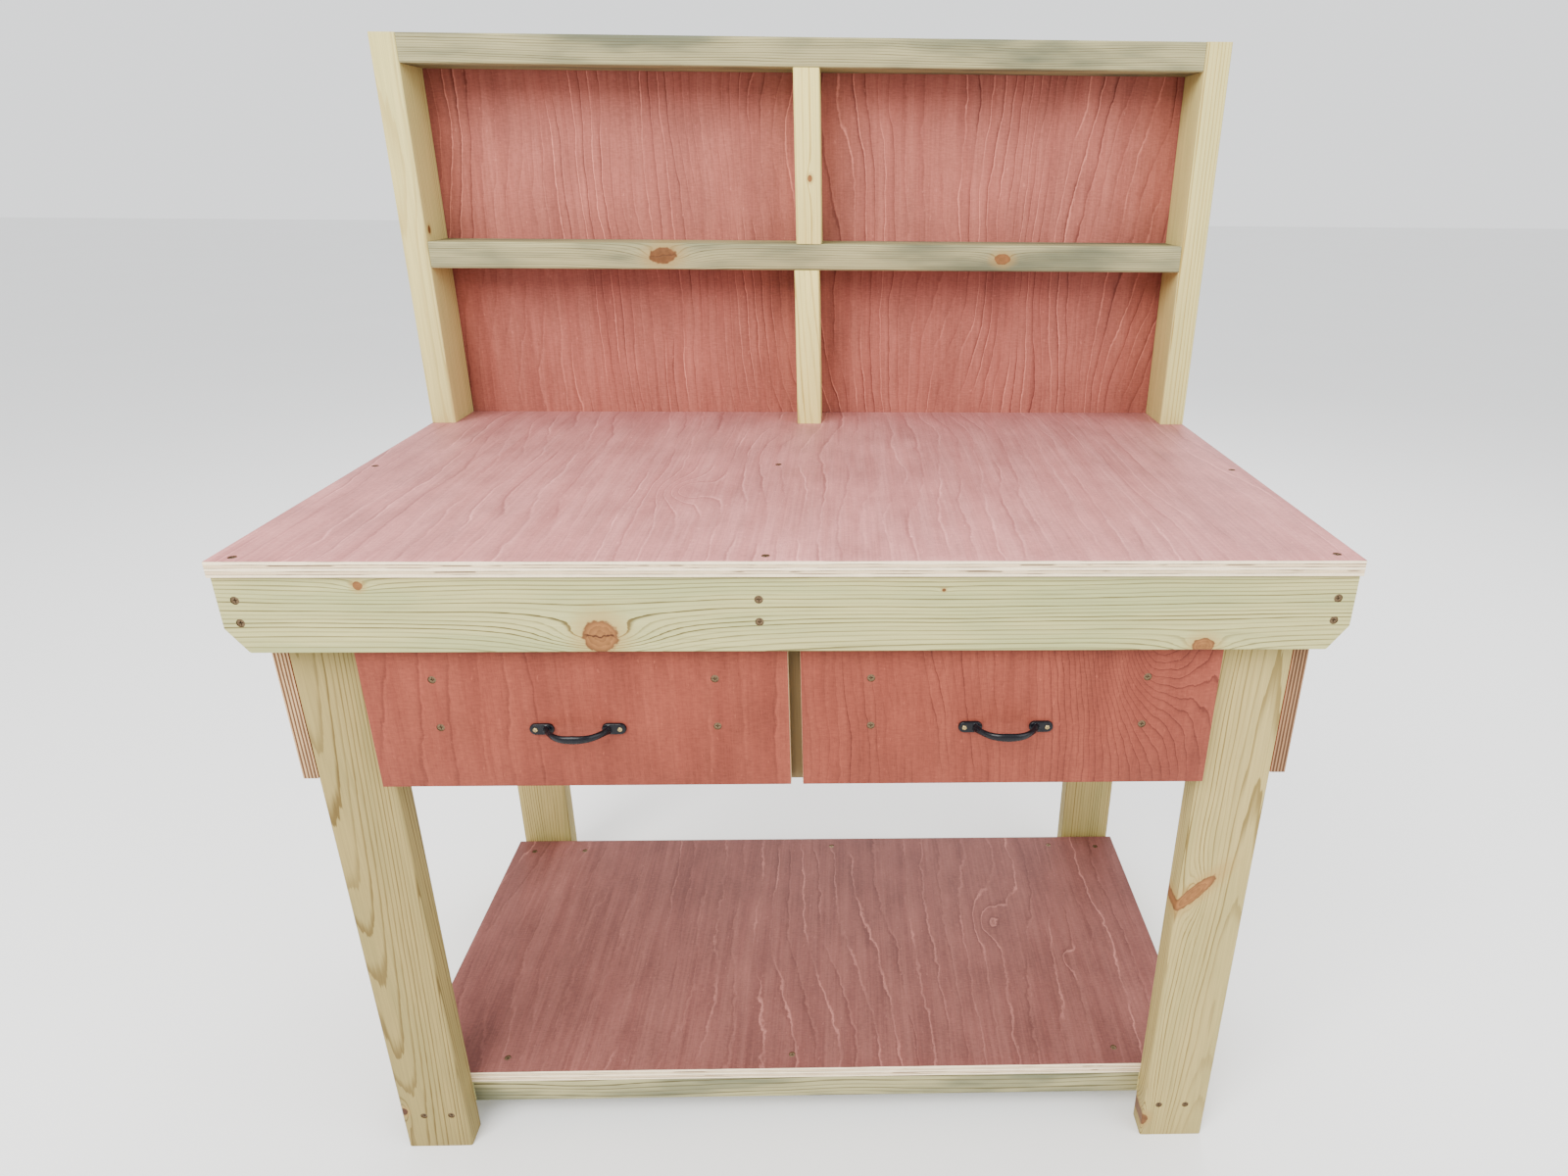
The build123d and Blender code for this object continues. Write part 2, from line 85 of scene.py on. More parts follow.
class PineTone(Enum):
    """Shades that the treated pine has taken: early wood, late wood and stain; one of them is painted shade."""

    GREEN = ((0.420, 0.388, 0.166), (0.098, 0.076, 0.026), (0.290, 0.315, 0.140))
    CREAM = ((0.570, 0.480, 0.185), (0.350, 0.250, 0.068), (0.450, 0.430, 0.165))
    OLIVE = ((0.385, 0.298, 0.114), (0.165, 0.112, 0.032), (0.255, 0.230, 0.092))
    BROWN = ((0.285, 0.216, 0.078), (0.125, 0.082, 0.024), (0.190, 0.168, 0.066))
    # Painted shade: a dark brown for the post seen only through the shadowed gap between the drawers.
    UMBER = ((0.150, 0.100, 0.044), (0.060, 0.034, 0.012), (0.105, 0.080, 0.036))
    PALE = ((0.700, 0.585, 0.205), (0.470, 0.350, 0.100), (0.620, 0.560, 0.200))
    GREY = ((0.330, 0.297, 0.150), (0.085, 0.070, 0.030), (0.115, 0.122, 0.074))


class PlyTone(Enum):
    """Shades of the veneers: pale figure, body and dark lines. The red tones are one veneer made lighter or darker
    for how each sheet is lit: painted light in the worktop's tone, painted shade in the drawer fronts' and the
    shelf's tones.
    """

    # Painted shade: the red veneer darkened for the drawer fronts under the apron; the side panels use it too.
    FRONT = ((0.260, 0.066, 0.040), (0.175, 0.039, 0.024), (0.055, 0.010, 0.007))
    # The same red veneer at the back panel's middling light.
    BACK = ((0.380, 0.128, 0.094), (0.270, 0.078, 0.058), (0.110, 0.025, 0.020))
    # Painted light: the same red veneer lightened for the top-lit worktop.
    TOP = ((0.562, 0.252, 0.236), (0.410, 0.156, 0.146), (0.210, 0.066, 0.063))
    # Painted shade: the same red veneer darkened for the shelf in the bench's shadow.
    SHELF = ((0.232, 0.092, 0.077), (0.138, 0.046, 0.039), (0.066, 0.019, 0.016))
    BIRCH = ((0.500, 0.360, 0.200), (0.430, 0.290, 0.150), (0.260, 0.150, 0.075))


# ---------------------------------------------------------------------------------------------------------
# Shader building
# ---------------------------------------------------------------------------------------------------------


class Graph:
    """Adds nodes to one node tree and links them, taking sockets and plain values alike."""

    def __init__(self, tree: bpy.types.NodeTree) -> None:
        """Starts on a tree, which may already hold nodes."""
        self.tree = tree
        self.source: dict[str, Socket] = {}

    @classmethod
    def group(cls, name: str, inputs: dict[str, object], outputs: dict[str, str]) -> "Graph":
        """Makes an empty shader node group.

        Args:
            name: The group's name.
            inputs: Input names and defaults; a number, a 3-vector or a 4-colour sets the socket's type.
            outputs: Output names and their socket types.

        Returns:
            A graph on the group's tree, its inputs in `source`.
        """
        tree = bpy.data.node_groups.new(name, "ShaderNodeTree")
        for label, default in inputs.items():
            if isinstance(default, (int, float)):
                kind = "NodeSocketFloat"
            else:
                kind = "NodeSocketVector" if len(default) == 3 else "NodeSocketColor"
            socket = tree.interface.new_socket(name=label, in_out="INPUT", socket_type=kind)
            socket.default_value = default
        for label, kind in outputs.items():
            tree.interface.new_socket(name=label, in_out="OUTPUT", socket_type=kind)
        graph = cls(tree)
        entry = graph.add("NodeGroupInput")
        graph.source = {label: entry.outputs[label] for label in inputs}
        return graph

    def add(
        self, kind: str, inputs: dict[int | str, object] | None = None, **settings: object
    ) -> bpy.types.Node:
        """Adds a node of a kind, sets its properties and feeds its inputs."""
        node = self.tree.nodes.new(kind)
        for key, value in settings.items():
            setattr(node, key, value)
        for label, value in (inputs or {}).items():
            self.feed(node.inputs[label], value)
        return node

    def feed(self, socket: Socket, value: object) -> None:
        """Links a socket into another, or sets its plain value."""
        if isinstance(value, Socket):
            self.tree.links.new(value, socket)
        elif isinstance(value, tuple) and len(value) == 3 and socket.type == "RGBA":
            socket.default_value = (*value, 1.0)
        else:
            socket.default_value = value

    def maths(self, operation: str, a: object, b: object = 0.0) -> Socket:
        """One Math node; returns its value."""
        return self.add("ShaderNodeMath", {0: a, 1: b}, operation=operation).outputs[0]

    def less(self, a: object, b: object) -> Socket:
        """One value less another."""
        return self.maths("SUBTRACT", a, b)

    def ratio(self, a: object, b: object) -> Socket:
        """One value over another."""
        return self.maths("DIVIDE", a, b)

    def most(self, a: object, b: object) -> Socket:
        """The greater of two values."""
        return self.maths("MAXIMUM", a, b)

    def total(self, *terms: object) -> Socket:
        """The sum of several values."""
        return functools.reduce(lambda a, b: self.maths("ADD", a, b), terms)

    def times(self, *factors: object) -> Socket:
        """The product of several values."""
        return functools.reduce(lambda a, b: self.maths("MULTIPLY", a, b), factors)

    def vector(self, operation: str, a: object, b: object) -> Socket:
        """One Vector Math node; returns its vector."""
        return self.add("ShaderNodeVectorMath", {0: a, 1: b}, operation=operation).outputs[0]

    def parts(self, vector: object) -> tuple[Socket, ...]:
        """The three numbers of a vector."""
        return tuple(self.add("ShaderNodeSeparateXYZ", {0: vector}).outputs)

    def join(self, x: object, y: object, z: object) -> Socket:
        """A vector of three numbers."""
        return self.add("ShaderNodeCombineXYZ", {0: x, 1: y, 2: z}).outputs[0]

    def noise(self, vector: object, detail: float = 2.0, roughness: float = 0.5) -> Socket:
        """Noise from 0 to 1 at scale 1; the vector is scaled beforehand."""
        inputs = {"Vector": vector, "Scale": 1.0, "Detail": detail, "Roughness": roughness}
        return self.add("ShaderNodeTexNoise", inputs).outputs[0]

    def seeded_noise(
        self, scale: Colour, shift: float, detail: float = 2.0, roughness: float = 0.5
    ) -> Socket:
        """Noise moved by a group's seed, so that no two boards match.

        Args:
            scale: Scale along the grain, across it and through the board, per millimetre.
            shift: Keeps one pattern of a group apart from another.
            detail: The noise's detail.
            roughness: The noise's roughness.

        Returns:
            The noise, from 0 to 1.
        """
        seed = self.source["Seed"]
        stride = Vector(SEED_STRIDE) + Vector((shift, 0.0, shift))
        move = self.join(*[self.times(seed, part) for part in stride])
        moved = self.vector("ADD", self.source["Vector"], move)
        return self.noise(self.vector("MULTIPLY", moved, scale), detail, roughness)

    def lot(self, number: Socket) -> Socket:
        """A lot drawn for each whole number, the same each time for one seed."""
        drawn = self.add("ShaderNodeTexWhiteNoise", noise_dimensions="1D")
        self.feed(drawn.inputs["W"], self.total(number, self.source["Seed"]))
        return drawn.outputs[0]

    def step(self, value: object, low: float, high: float) -> Socket:
        """A smooth rise from 0 at low to 1 at high; with low above high it falls."""
        ends = {"From Min": min(low, high), "From Max": max(low, high)}
        levels = {"To Min": float(low > high), "To Max": float(low < high)}
        inputs = {"Value": value, **ends, **levels}
        return self.add("ShaderNodeMapRange", inputs, interpolation_type="SMOOTHSTEP", clamp=True).outputs[0]

    def mix(self, factor: object, a: object, b: object) -> Socket:
        """A colour mix; the factor is clamped."""
        node = self.add("ShaderNodeMix", {0: factor, 6: a, 7: b}, data_type="RGBA", clamp_factor=True)
        return node.outputs[2]

    def shade(self, colour: object, amount: object) -> Socket:
        """A colour times a number, which may pass 1."""
        return self.vector("MULTIPLY", colour, self.join(amount, amount, amount))

    def finish(self, results: dict[str, object]) -> bpy.types.NodeTree:
        """Closes a group by feeding its outputs, and returns its tree."""
        self.add("NodeGroupOutput", results)
        return self.tree


@dataclass(frozen=True)
class Knot:
    """A knot, placed on a board's face in millimetres from the board's middle."""

    along: float
    across: float
    radius: float
    stretch: float = 1.0
    turn: float = 0.0
    dark: float = 0.3


KNOT_COUNT = 4
RAW_WOOD_GLOSS = 0.14
NO_KNOT = (FAR, FAR, 1.0)
KNOT_BROWN: Colour = (0.235, 0.100, 0.032)
KNOT_DARK: Colour = (0.040, 0.012, 0.006)
KNOT_HALO: Colour = (0.330, 0.200, 0.060)


def pine_group() -> bpy.types.NodeTree:
    """Planed pine: growth rings about a pith, flowing round knots, with fibres and a green stain."""
    inputs: dict[str, object] = {
        "Vector": (0.0, 0.0, 0.0),
        "Seed": 0.0,
        "Pith": (0.0, 0.0, 0.0),
        "Ring Width": 4.0,
        "Wander": 14.0,
        "Early Wood": (0.6, 0.6, 0.4, 1.0),
        "Late Wood": (0.4, 0.35, 0.2, 1.0),
        "Stain": (0.4, 0.45, 0.3, 1.0),
        "Stain Amount": 0.5,
    }
    for number in range(1, KNOT_COUNT + 1):
        inputs[f"Knot {number}"] = NO_KNOT
        inputs[f"Knot {number} Shape"] = (1.0, 0.0, 0.3)
    graph = Graph.group("planed_pine", inputs, SURFACE_OUTPUTS)
    source = graph.source
    along, across, depth = graph.parts(source["Vector"])
    pith_across, pith_depth, tilt = graph.parts(source["Pith"])
    slow = graph.seeded_noise((0.0024, 0.012, 0.012), 0.0, 2.0)
    wander = graph.times(graph.less(slow, 0.5), source["Wander"])
    off_across = graph.total(graph.less(across, pith_across), wander)
    off_depth = graph.total(graph.less(depth, pith_depth), graph.times(along, tilt), wander)
    radius = graph.maths(
        "SQRT", graph.total(graph.times(off_across, off_across), graph.times(off_depth, off_depth))
    )
    rim_noise = graph.seeded_noise((0.16, 0.16, 0.16), 5.0, 3.0)
    knot_mask = knot_ring = knot_dark = halo = crack = 0.0
    for number in range(1, KNOT_COUNT + 1):
        at_along, at_across, size = graph.parts(source[f"Knot {number}"])
        stretch, turn, dark = graph.parts(source[f"Knot {number} Shape"])
        du = graph.less(along, at_along)
        dv = graph.less(across, at_across)
        cosine, sine = graph.maths("COSINE", turn), graph.maths("SINE", turn)
        u = graph.total(graph.times(du, cosine), graph.times(dv, sine))
        v = graph.less(graph.times(dv, cosine), graph.times(du, sine))
        long_u = graph.ratio(u, stretch)
        reach = graph.maths("SQRT", graph.total(graph.times(long_u, long_u), graph.times(v, v)))
        reach = graph.ratio(reach, size)
        reach = graph.total(reach, graph.times(graph.less(rim_noise, 0.5), 0.45))
        slim = graph.times(du, 0.33)
        flow = graph.maths("SQRT", graph.total(graph.times(slim, slim), graph.times(dv, dv)))
        flow = graph.ratio(flow, size)
        bulge = graph.ratio(graph.times(size, 1.75), graph.total(graph.times(flow, flow), 1.0))
        radius = graph.total(radius, bulge)
        mask = graph.step(reach, 1.06, 0.88)
        knot_mask = graph.most(knot_mask, mask)
        inner = graph.maths("FRACT", graph.times(reach, 3.2))
        rim = graph.times(graph.step(reach, 0.72, 0.98), mask)
        knot_ring = graph.most(knot_ring, graph.total(graph.times(inner, mask, 0.34), graph.times(rim, 0.34)))
        knot_dark = graph.most(knot_dark, graph.times(dark, mask))
        halo = graph.most(halo, graph.step(reach, 2.3, 0.9))
        bent = graph.total(v, graph.times(graph.less(rim_noise, 0.5), size, 0.5))
        split = graph.ratio(graph.maths("ABSOLUTE", bent), size)
        split_mask = graph.times(graph.step(split, 0.10, 0.02), graph.step(reach, 0.95, 0.6))
        crack = graph.most(crack, graph.times(split_mask, graph.step(size, 8.0, 16.0)))
    rough_edge = graph.seeded_noise((0.012, 0.30, 0.30), 9.0, 2.0)
    phase = graph.total(
        graph.ratio(radius, source["Ring Width"]),
        graph.times(graph.less(rough_edge, 0.5), 0.35),
    )
    within = graph.maths("FRACT", phase)
    late = graph.maths("MULTIPLY", graph.step(within, 0.60, 0.92), graph.step(within, 1.0, 0.96))
    late = graph.times(late, graph.total(graph.times(graph.lot(graph.maths("FLOOR", phase)), 0.8), 0.3))
    fine_fibre = graph.seeded_noise((0.018, 1.1, 1.1), 3.0, 4.0, 0.6)
    coarse_fibre = graph.seeded_noise((0.006, 0.30, 0.30), 41.0, 4.0, 0.65)
    fibre = graph.times(graph.total(fine_fibre, coarse_fibre), 0.5)
    tone = graph.seeded_noise((0.0045, 0.024, 0.024), 7.0, 3.0)
    stain = graph.times(source["Stain Amount"], graph.step(tone, 0.38, 0.68))
    colour = graph.mix(stain, source["Early Wood"], source["Stain"])
    colour = graph.mix(late, colour, source["Late Wood"])
    colour = graph.shade(colour, graph.total(graph.times(fibre, 0.85), 0.57))
    streak = graph.step(graph.seeded_noise((0.008, 0.7, 0.7), 13.0, 3.0), 0.60, 0.74)
    colour = graph.mix(graph.times(streak, 0.30), colour, source["Late Wood"])
    colour = graph.mix(graph.times(halo, 0.55), colour, KNOT_HALO)
    knot_colour = graph.mix(graph.most(knot_ring, knot_dark), KNOT_BROWN, KNOT_DARK)
    knot_colour = graph.shade(knot_colour, graph.total(graph.times(rim_noise, 0.9), 0.6))
    colour = graph.mix(knot_mask, colour, knot_colour)
    colour = graph.mix(graph.times(crack, 0.9), colour, KNOT_DARK)
    height = graph.total(graph.times(fibre, 0.45), graph.times(late, 0.35), graph.times(crack, -1.2))
    height = graph.total(height, graph.times(knot_ring, 0.25))
    roughness = graph.total(graph.times(fibre, 0.16), graph.times(knot_mask, -0.16), 0.60)
    return graph.finish({"Colour": colour, "Roughness": roughness, "Height": height})


def veneer_group() -> bpy.types.NodeTree:
    """Peeled hardwood veneer: drifting contour lines along the grain, pores and a fine cross hatch."""
    graph = Graph.group(
        "peeled_veneer",
        {
            "Vector": (0.0, 0.0, 0.0),
            "Seed": 0.0,
            "Spacing": 16.0,
            "Swing": 170.0,
            "Wobble": 9.0,
            "Pale Lines": 0.5,
            "Dark Lines": 0.4,
            "Streaks": 0.4,
            "Pale": (0.6, 0.4, 0.3, 1.0),
            "Body": (0.45, 0.2, 0.15, 1.0),
            "Dark": (0.25, 0.08, 0.06, 1.0),
            "Whorl 1": NO_KNOT,
            "Whorl 2": NO_KNOT,
        },
        SURFACE_OUTPUTS,
    )
    source = graph.source
    along, across, _ = graph.parts(source["Vector"])
    broad = graph.seeded_noise((0.0015, 0.0026, 0.0), 0.0, 1.0)
    middling = graph.seeded_noise((0.005, 0.012, 0.0), 21.0, 2.0)
    ripple = graph.seeded_noise((0.026, 0.05, 0.0), 4.0, 4.0, 0.6)
    level = graph.total(across, graph.times(broad, source["Swing"]), graph.times(middling, 30.0))
    level = graph.total(level, graph.times(ripple, source["Wobble"]))
    near_whorl = 0.0
    for number in (1, 2):
        at_along, at_across, size = graph.parts(source[f"Whorl {number}"])
        du = graph.ratio(graph.less(along, at_along), graph.times(size, 1.6))
        dv = graph.ratio(graph.less(across, at_across), size)
        away = graph.total(graph.times(du, du), graph.times(dv, dv), 1.0)
        level = graph.total(level, graph.ratio(graph.times(size, 1.9), graph.times(away, away)))
        near_whorl = graph.most(near_whorl, graph.step(away, 5.0, 2.0))
    phase = graph.ratio(level, source["Spacing"])
    within = graph.maths("FRACT", phase)
    lot = graph.lot(graph.maths("FLOOR", phase))
    come_and_go = graph.step(graph.seeded_noise((0.006, 0.012, 0.0), 8.0, 2.0), 0.34, 0.60)
    strong = graph.times(graph.total(graph.times(graph.step(lot, 0.3, 0.95), 0.85), 0.15), come_and_go)
    strong = graph.most(strong, graph.times(near_whorl, 0.85))
    pale_line = graph.times(graph.step(within, 0.0, 0.03), graph.step(within, 0.14, 0.05), strong)
    dark_side = graph.times(graph.step(within, 0.55, 0.98), graph.total(graph.times(strong, 0.7), 0.3))
    dark_line = graph.times(graph.step(within, 0.86, 0.94), graph.step(within, 1.0, 0.97), strong)
    bands = graph.seeded_noise((0.0028, 0.045, 0.0), 2.0, 4.0, 0.62)
    fine = graph.seeded_noise((0.006, 0.28, 0.0), 17.0, 3.0, 0.6)
    pores = graph.step(graph.seeded_noise((0.085, 1.5, 0.0), 6.0, 2.0), 0.57, 0.70)
    hatch = graph.seeded_noise((0.42, 0.10, 0.0), 11.0, 4.0, 0.7)
    blotch = graph.seeded_noise((0.010, 0.014, 0.0), 15.0, 4.0, 0.6)
    fleck = graph.step(graph.seeded_noise((0.10, 0.22, 0.0), 31.0, 3.0), 0.64, 0.76)
    body = graph.mix(graph.step(bands, 0.32, 0.70), source["Body"], source["Pale"])
    body = graph.mix(0.45, source["Body"], body)
    streaks = graph.times(graph.less(fine, 0.5), source["Streaks"])
    colour = graph.mix(graph.times(dark_side, source["Dark Lines"], 0.55), body, source["Dark"])
    colour = graph.mix(graph.times(dark_line, source["Dark Lines"]), colour, source["Dark"])
    light = graph.shade(source["Pale"], 1.5)
    colour = graph.mix(graph.times(pale_line, source["Pale Lines"]), colour, light)
    colour = graph.mix(graph.times(fleck, 0.35), colour, light)
    colour = graph.mix(graph.times(pores, 0.30), colour, source["Dark"])
    tint = graph.total(graph.times(hatch, 0.80), graph.times(blotch, 0.70), streaks, 0.27)
    colour = graph.shade(colour, tint)
    height = graph.total(graph.times(pores, -0.6), graph.times(hatch, 0.5), graph.times(pale_line, 0.4))
    roughness = graph.total(graph.times(bands, 0.14), graph.times(pores, 0.1), 0.50)
    return graph.finish({"Colour": colour, "Roughness": roughness, "Height": height})


def laminate_group() -> bpy.types.NodeTree:
    """A sawn plywood edge: plies of two kinds, thin glue lines, saw marks and small gaps."""
    graph = Graph.group(
        "sawn_laminations",
        {
            "Vector": (0.0, 0.0, 0.0),
            "Seed": 0.0,
            "Thickness": 18.0,
            "Plies": 9.0,
            "Face Grain": (0.8, 0.7, 0.5, 1.0),
            "Cross Grain": (0.6, 0.45, 0.3, 1.0),
            "Glue": (0.2, 0.1, 0.05, 1.0),
        },
        SURFACE_OUTPUTS,
    )
    source = graph.source
    along, across, depth = graph.parts(source["Vector"])
    run = graph.total(along, across)
    wobble = graph.noise(graph.join(graph.times(run, 0.02), graph.times(depth, 0.05), source["Seed"]))
    drift = graph.times(graph.less(wobble, 0.5), 0.035)
    level = graph.total(graph.ratio(depth, source["Thickness"]), 0.5, drift)
    phase = graph.times(level, source["Plies"])
    ply = graph.maths("FLOOR", phase)
    within = graph.maths("FRACT", phase)
    crossing = graph.maths("ABSOLUTE", graph.maths("MODULO", ply, 2.0))
    seed = source["Seed"]

    def mottle(stretch: float, other: Socket, rise: float, shift: float, detail: float) -> Socket:
        """Noise that runs along the edge and changes with another value."""
        spot = graph.join(graph.times(run, stretch), graph.times(other, rise), graph.times(seed, shift))
        return graph.noise(spot, detail)

    streak = mottle(0.05, depth, 1.3, 3.0, 4.0)
    speckle = mottle(0.9, depth, 0.8, 5.0, 3.0)
    colour = graph.mix(crossing, source["Face Grain"], source["Cross Grain"])
    colour = graph.shade(colour, graph.total(graph.times(streak, 0.45), graph.times(speckle, 0.3), 0.62))
    glue = graph.most(graph.step(within, 0.20, 0.06), graph.step(within, 0.84, 0.96))
    uneven = mottle(0.015, ply, 4.1, 13.0, 4.0)
    colour = graph.mix(graph.times(glue, graph.step(uneven, 0.40, 0.58)), colour, source["Glue"])
    gap_noise = mottle(0.011, ply, 7.3, 9.0, 3.0)
    slit = graph.step(graph.maths("ABSOLUTE", graph.less(within, 0.3)), 0.24, 0.12)
    gap = graph.times(graph.step(gap_noise, 0.56, 0.60), crossing, slit)
    colour = graph.mix(graph.times(gap, 0.85), colour, source["Glue"])
    height = graph.total(graph.times(speckle, 0.5), graph.times(crossing, -0.35), graph.times(gap, -1.0))
    roughness = graph.total(graph.times(speckle, 0.1), 0.72)
    return graph.finish({"Colour": colour, "Roughness": roughness, "Height": height})


def cast_skin_group() -> bpy.types.NodeTree:
    """The pitted skin of a casting or the scuffs of small metalware, as a mask and a height."""
    graph = Graph.group(
        "metal_skin",
        {"Vector": (0.0, 0.0, 0.0), "Grain Size": 0.8, "Scuff Size": 6.0},
        {"Scuff": "NodeSocketFloat", "Height": "NodeSocketFloat"},
    )
    vector = graph.source["Vector"]
    grit_at = graph.vector("DIVIDE", vector, graph.join(*[graph.source["Grain Size"]] * 3))
    scuff_at = graph.vector("DIVIDE", vector, graph.join(*[graph.source["Scuff Size"]] * 3))
    grit = graph.noise(grit_at, detail=3.0, roughness=0.6)
    scuff = graph.step(graph.noise(scuff_at, detail=4.0, roughness=0.62), 0.50, 0.72)
    return graph.finish({"Scuff": scuff, "Height": grit})


def in_millimetres(graph: Graph, centre: Vector, turn: Matrix) -> Socket:
    """Object coordinates in millimetres from a centre, turned to a rotation's columns."""
    inputs = {
        "Vector": graph.add("ShaderNodeTexCoord").outputs["Object"],
        "Location": centre,
        "Rotation": turn.to_euler(),
        "Scale": (MM, MM, MM),
    }
    return graph.add("ShaderNodeMapping", inputs, vector_type="TEXTURE").outputs["Vector"]


@dataclass(frozen=True)
class GrainFrame:
    """Where a board lies and which way its grain runs, for centring and turning its pattern."""

    centre: Vector
    grain: Vector
    across: Vector

    @classmethod
    def of_node(cls, node: str, grain: Axis, across: Axis) -> "GrainFrame":
        """The frame of a node's box, with its grain and its face's cross direction."""
        low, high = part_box(node)
        return cls((low + high) / 2, grain.unit(), across.unit())

    def turn(self) -> Matrix:
        """Rotation whose columns are the grain, the cross direction and the way through the board."""
        return Matrix((self.grain, self.across, self.grain.cross(self.across))).transposed()

    def place(self, graph: Graph) -> Socket:
        """Object coordinates turned to the grain, in millimetres from the board's middle."""
        return in_millimetres(graph, self.centre, self.turn())

    def facing(self, graph: Graph, through: Vector) -> Socket:
        """1 on the board's broad faces and 0 on its edges.

        Args:
            graph: The material's graph.
            through: Unit vector through the board's thickness.

        Returns:
            The mask.
        """
        normal = graph.add("ShaderNodeTexCoord").outputs["Normal"]
        lean = graph.add("ShaderNodeVectorMath", {0: normal, 1: through}, operation="DOT_PRODUCT")
        return graph.maths("GREATER_THAN", graph.maths("ABSOLUTE", lean.outputs["Value"]), FACE_LEAN)


@dataclass
class Groups:
    """The shared shader groups, each built once."""

    pine: bpy.types.NodeTree = field(default_factory=pine_group)
    veneer: bpy.types.NodeTree = field(default_factory=veneer_group)
    laminate: bpy.types.NodeTree = field(default_factory=laminate_group)
    skin: bpy.types.NodeTree = field(default_factory=cast_skin_group)


def new_material(name: str) -> tuple[bpy.types.Material, Graph, bpy.types.Node]:
    """A material with a Principled BSDF; returns it, its graph and the shader node."""
    material = bpy.data.materials.new(name)
    material.use_nodes = True
    shader = material.node_tree.nodes["Principled BSDF"]
    return material, Graph(material.node_tree), shader


def place_group(graph: Graph, tree: bpy.types.NodeTree, **values: object) -> bpy.types.Node:
    """Puts a shader group in a material with its own values; underscores in names stand for spaces."""
    inputs = {label.replace("_", " "): value for label, value in values.items()}
    return graph.add("ShaderNodeGroup", inputs, node_tree=tree)


def add_bump(graph: Graph, shader: bpy.types.Node, height: object, strength: float, depth: float) -> None:
    """Feeds a height through a Bump node into a shader's normal.

    Args:
        graph: The material's graph.
        shader: The Principled BSDF.
        height: The height socket.
        strength: Bump strength.
        depth: Depth of the relief in metres.
    """
    bump = graph.add("ShaderNodeBump", {"Strength": strength, "Distance": depth, "Height": height})
    graph.feed(shader.inputs["Normal"], bump.outputs["Normal"])


@dataclass(frozen=True)
class PineFinish:
    """Planed, pressure-treated pine."""

    seed: float
    tone: PineTone = PineTone.GREEN
    pith: Colour = (60.0, 30.0, 0.0)
    ring: float = 4.2
    wander: float = 16.0
    stain: float = 0.5
    knots: tuple[Knot, ...] = ()

    def material(self, name: str, lie: GrainFrame, groups: Groups) -> bpy.types.Material:
        """Makes the finish for one board."""
        material, graph, shader = new_material(name)
        early, late, stain = self.tone.value
        wood = place_group(
            graph,
            groups.pine,
            Vector=lie.place(graph),
            Seed=self.seed,
            Pith=self.pith,
            Ring_Width=self.ring,
            Wander=self.wander,
            Early_Wood=early,
            Late_Wood=late,
            Stain=stain,
            Stain_Amount=self.stain,
        )
        for number, knot in enumerate(self.knots[:KNOT_COUNT], start=1):
            wood.inputs[f"Knot {number}"].default_value = (knot.along, knot.across, knot.radius)
            wood.inputs[f"Knot {number} Shape"].default_value = (knot.stretch, knot.turn, knot.dark)
        graph.feed(shader.inputs["Base Color"], wood.outputs["Colour"])
        shader.inputs["Specular IOR Level"].default_value = RAW_WOOD_GLOSS
        graph.feed(shader.inputs["Roughness"], wood.outputs["Roughness"])
        add_bump(graph, shader, wood.outputs["Height"], 0.35, 0.0006)
        return material


@dataclass(frozen=True)
class PlyFinish:
    """Plywood with a hardwood veneer on its faces and its plies showing on its edges."""

    seed: float
    tone: PlyTone
    thickness: float = 18.0
    plies: float = 9.0
    spacing: float = 16.0
    swing: float = 170.0
    wobble: float = 9.0
    pale_lines: float = 0.5
    dark_lines: float = 0.4
    streaks: float = 0.3
    whorls: tuple[Colour, ...] = ()
    face_grain: Colour = (0.70, 0.52, 0.30)
    cross_grain: Colour = (0.52, 0.33, 0.17)
    glue: Colour = (0.085, 0.048, 0.026)

    def material(self, name: str, lie: GrainFrame, groups: Groups) -> bpy.types.Material:
        """Makes the finish for one sheet."""
        material, graph, shader = new_material(name)
        place = lie.place(graph)
        pale, body, dark = self.tone.value
        face = place_group(
            graph,
            groups.veneer,
            Vector=place,
            Seed=self.seed,
            Spacing=self.spacing,
            Swing=self.swing,
            Wobble=self.wobble,
            Pale_Lines=self.pale_lines,
            Dark_Lines=self.dark_lines,
            Streaks=self.streaks,
            Pale=pale,
            Body=body,
            Dark=dark,
        )
        for number, whorl in enumerate(self.whorls, start=1):
            face.inputs[f"Whorl {number}"].default_value = whorl
        edge = place_group(
            graph,
            groups.laminate,
            Vector=place,
            Seed=self.seed,
            Thickness=self.thickness,
            Plies=self.plies,
            Face_Grain=self.face_grain,
            Cross_Grain=self.cross_grain,
            Glue=self.glue,
        )
        mask = lie.facing(graph, lie.grain.cross(lie.across))
        colour = graph.mix(mask, edge.outputs["Colour"], face.outputs["Colour"])
        graph.feed(shader.inputs["Base Color"], colour)
        shader.inputs["Specular IOR Level"].default_value = RAW_WOOD_GLOSS
        roughness = graph.mix(mask, edge.outputs["Roughness"], face.outputs["Roughness"])
        graph.feed(shader.inputs["Roughness"], roughness)
        height = graph.mix(mask, edge.outputs["Height"], face.outputs["Height"])
        add_bump(graph, shader, height, 0.3, 0.0005)
        return material


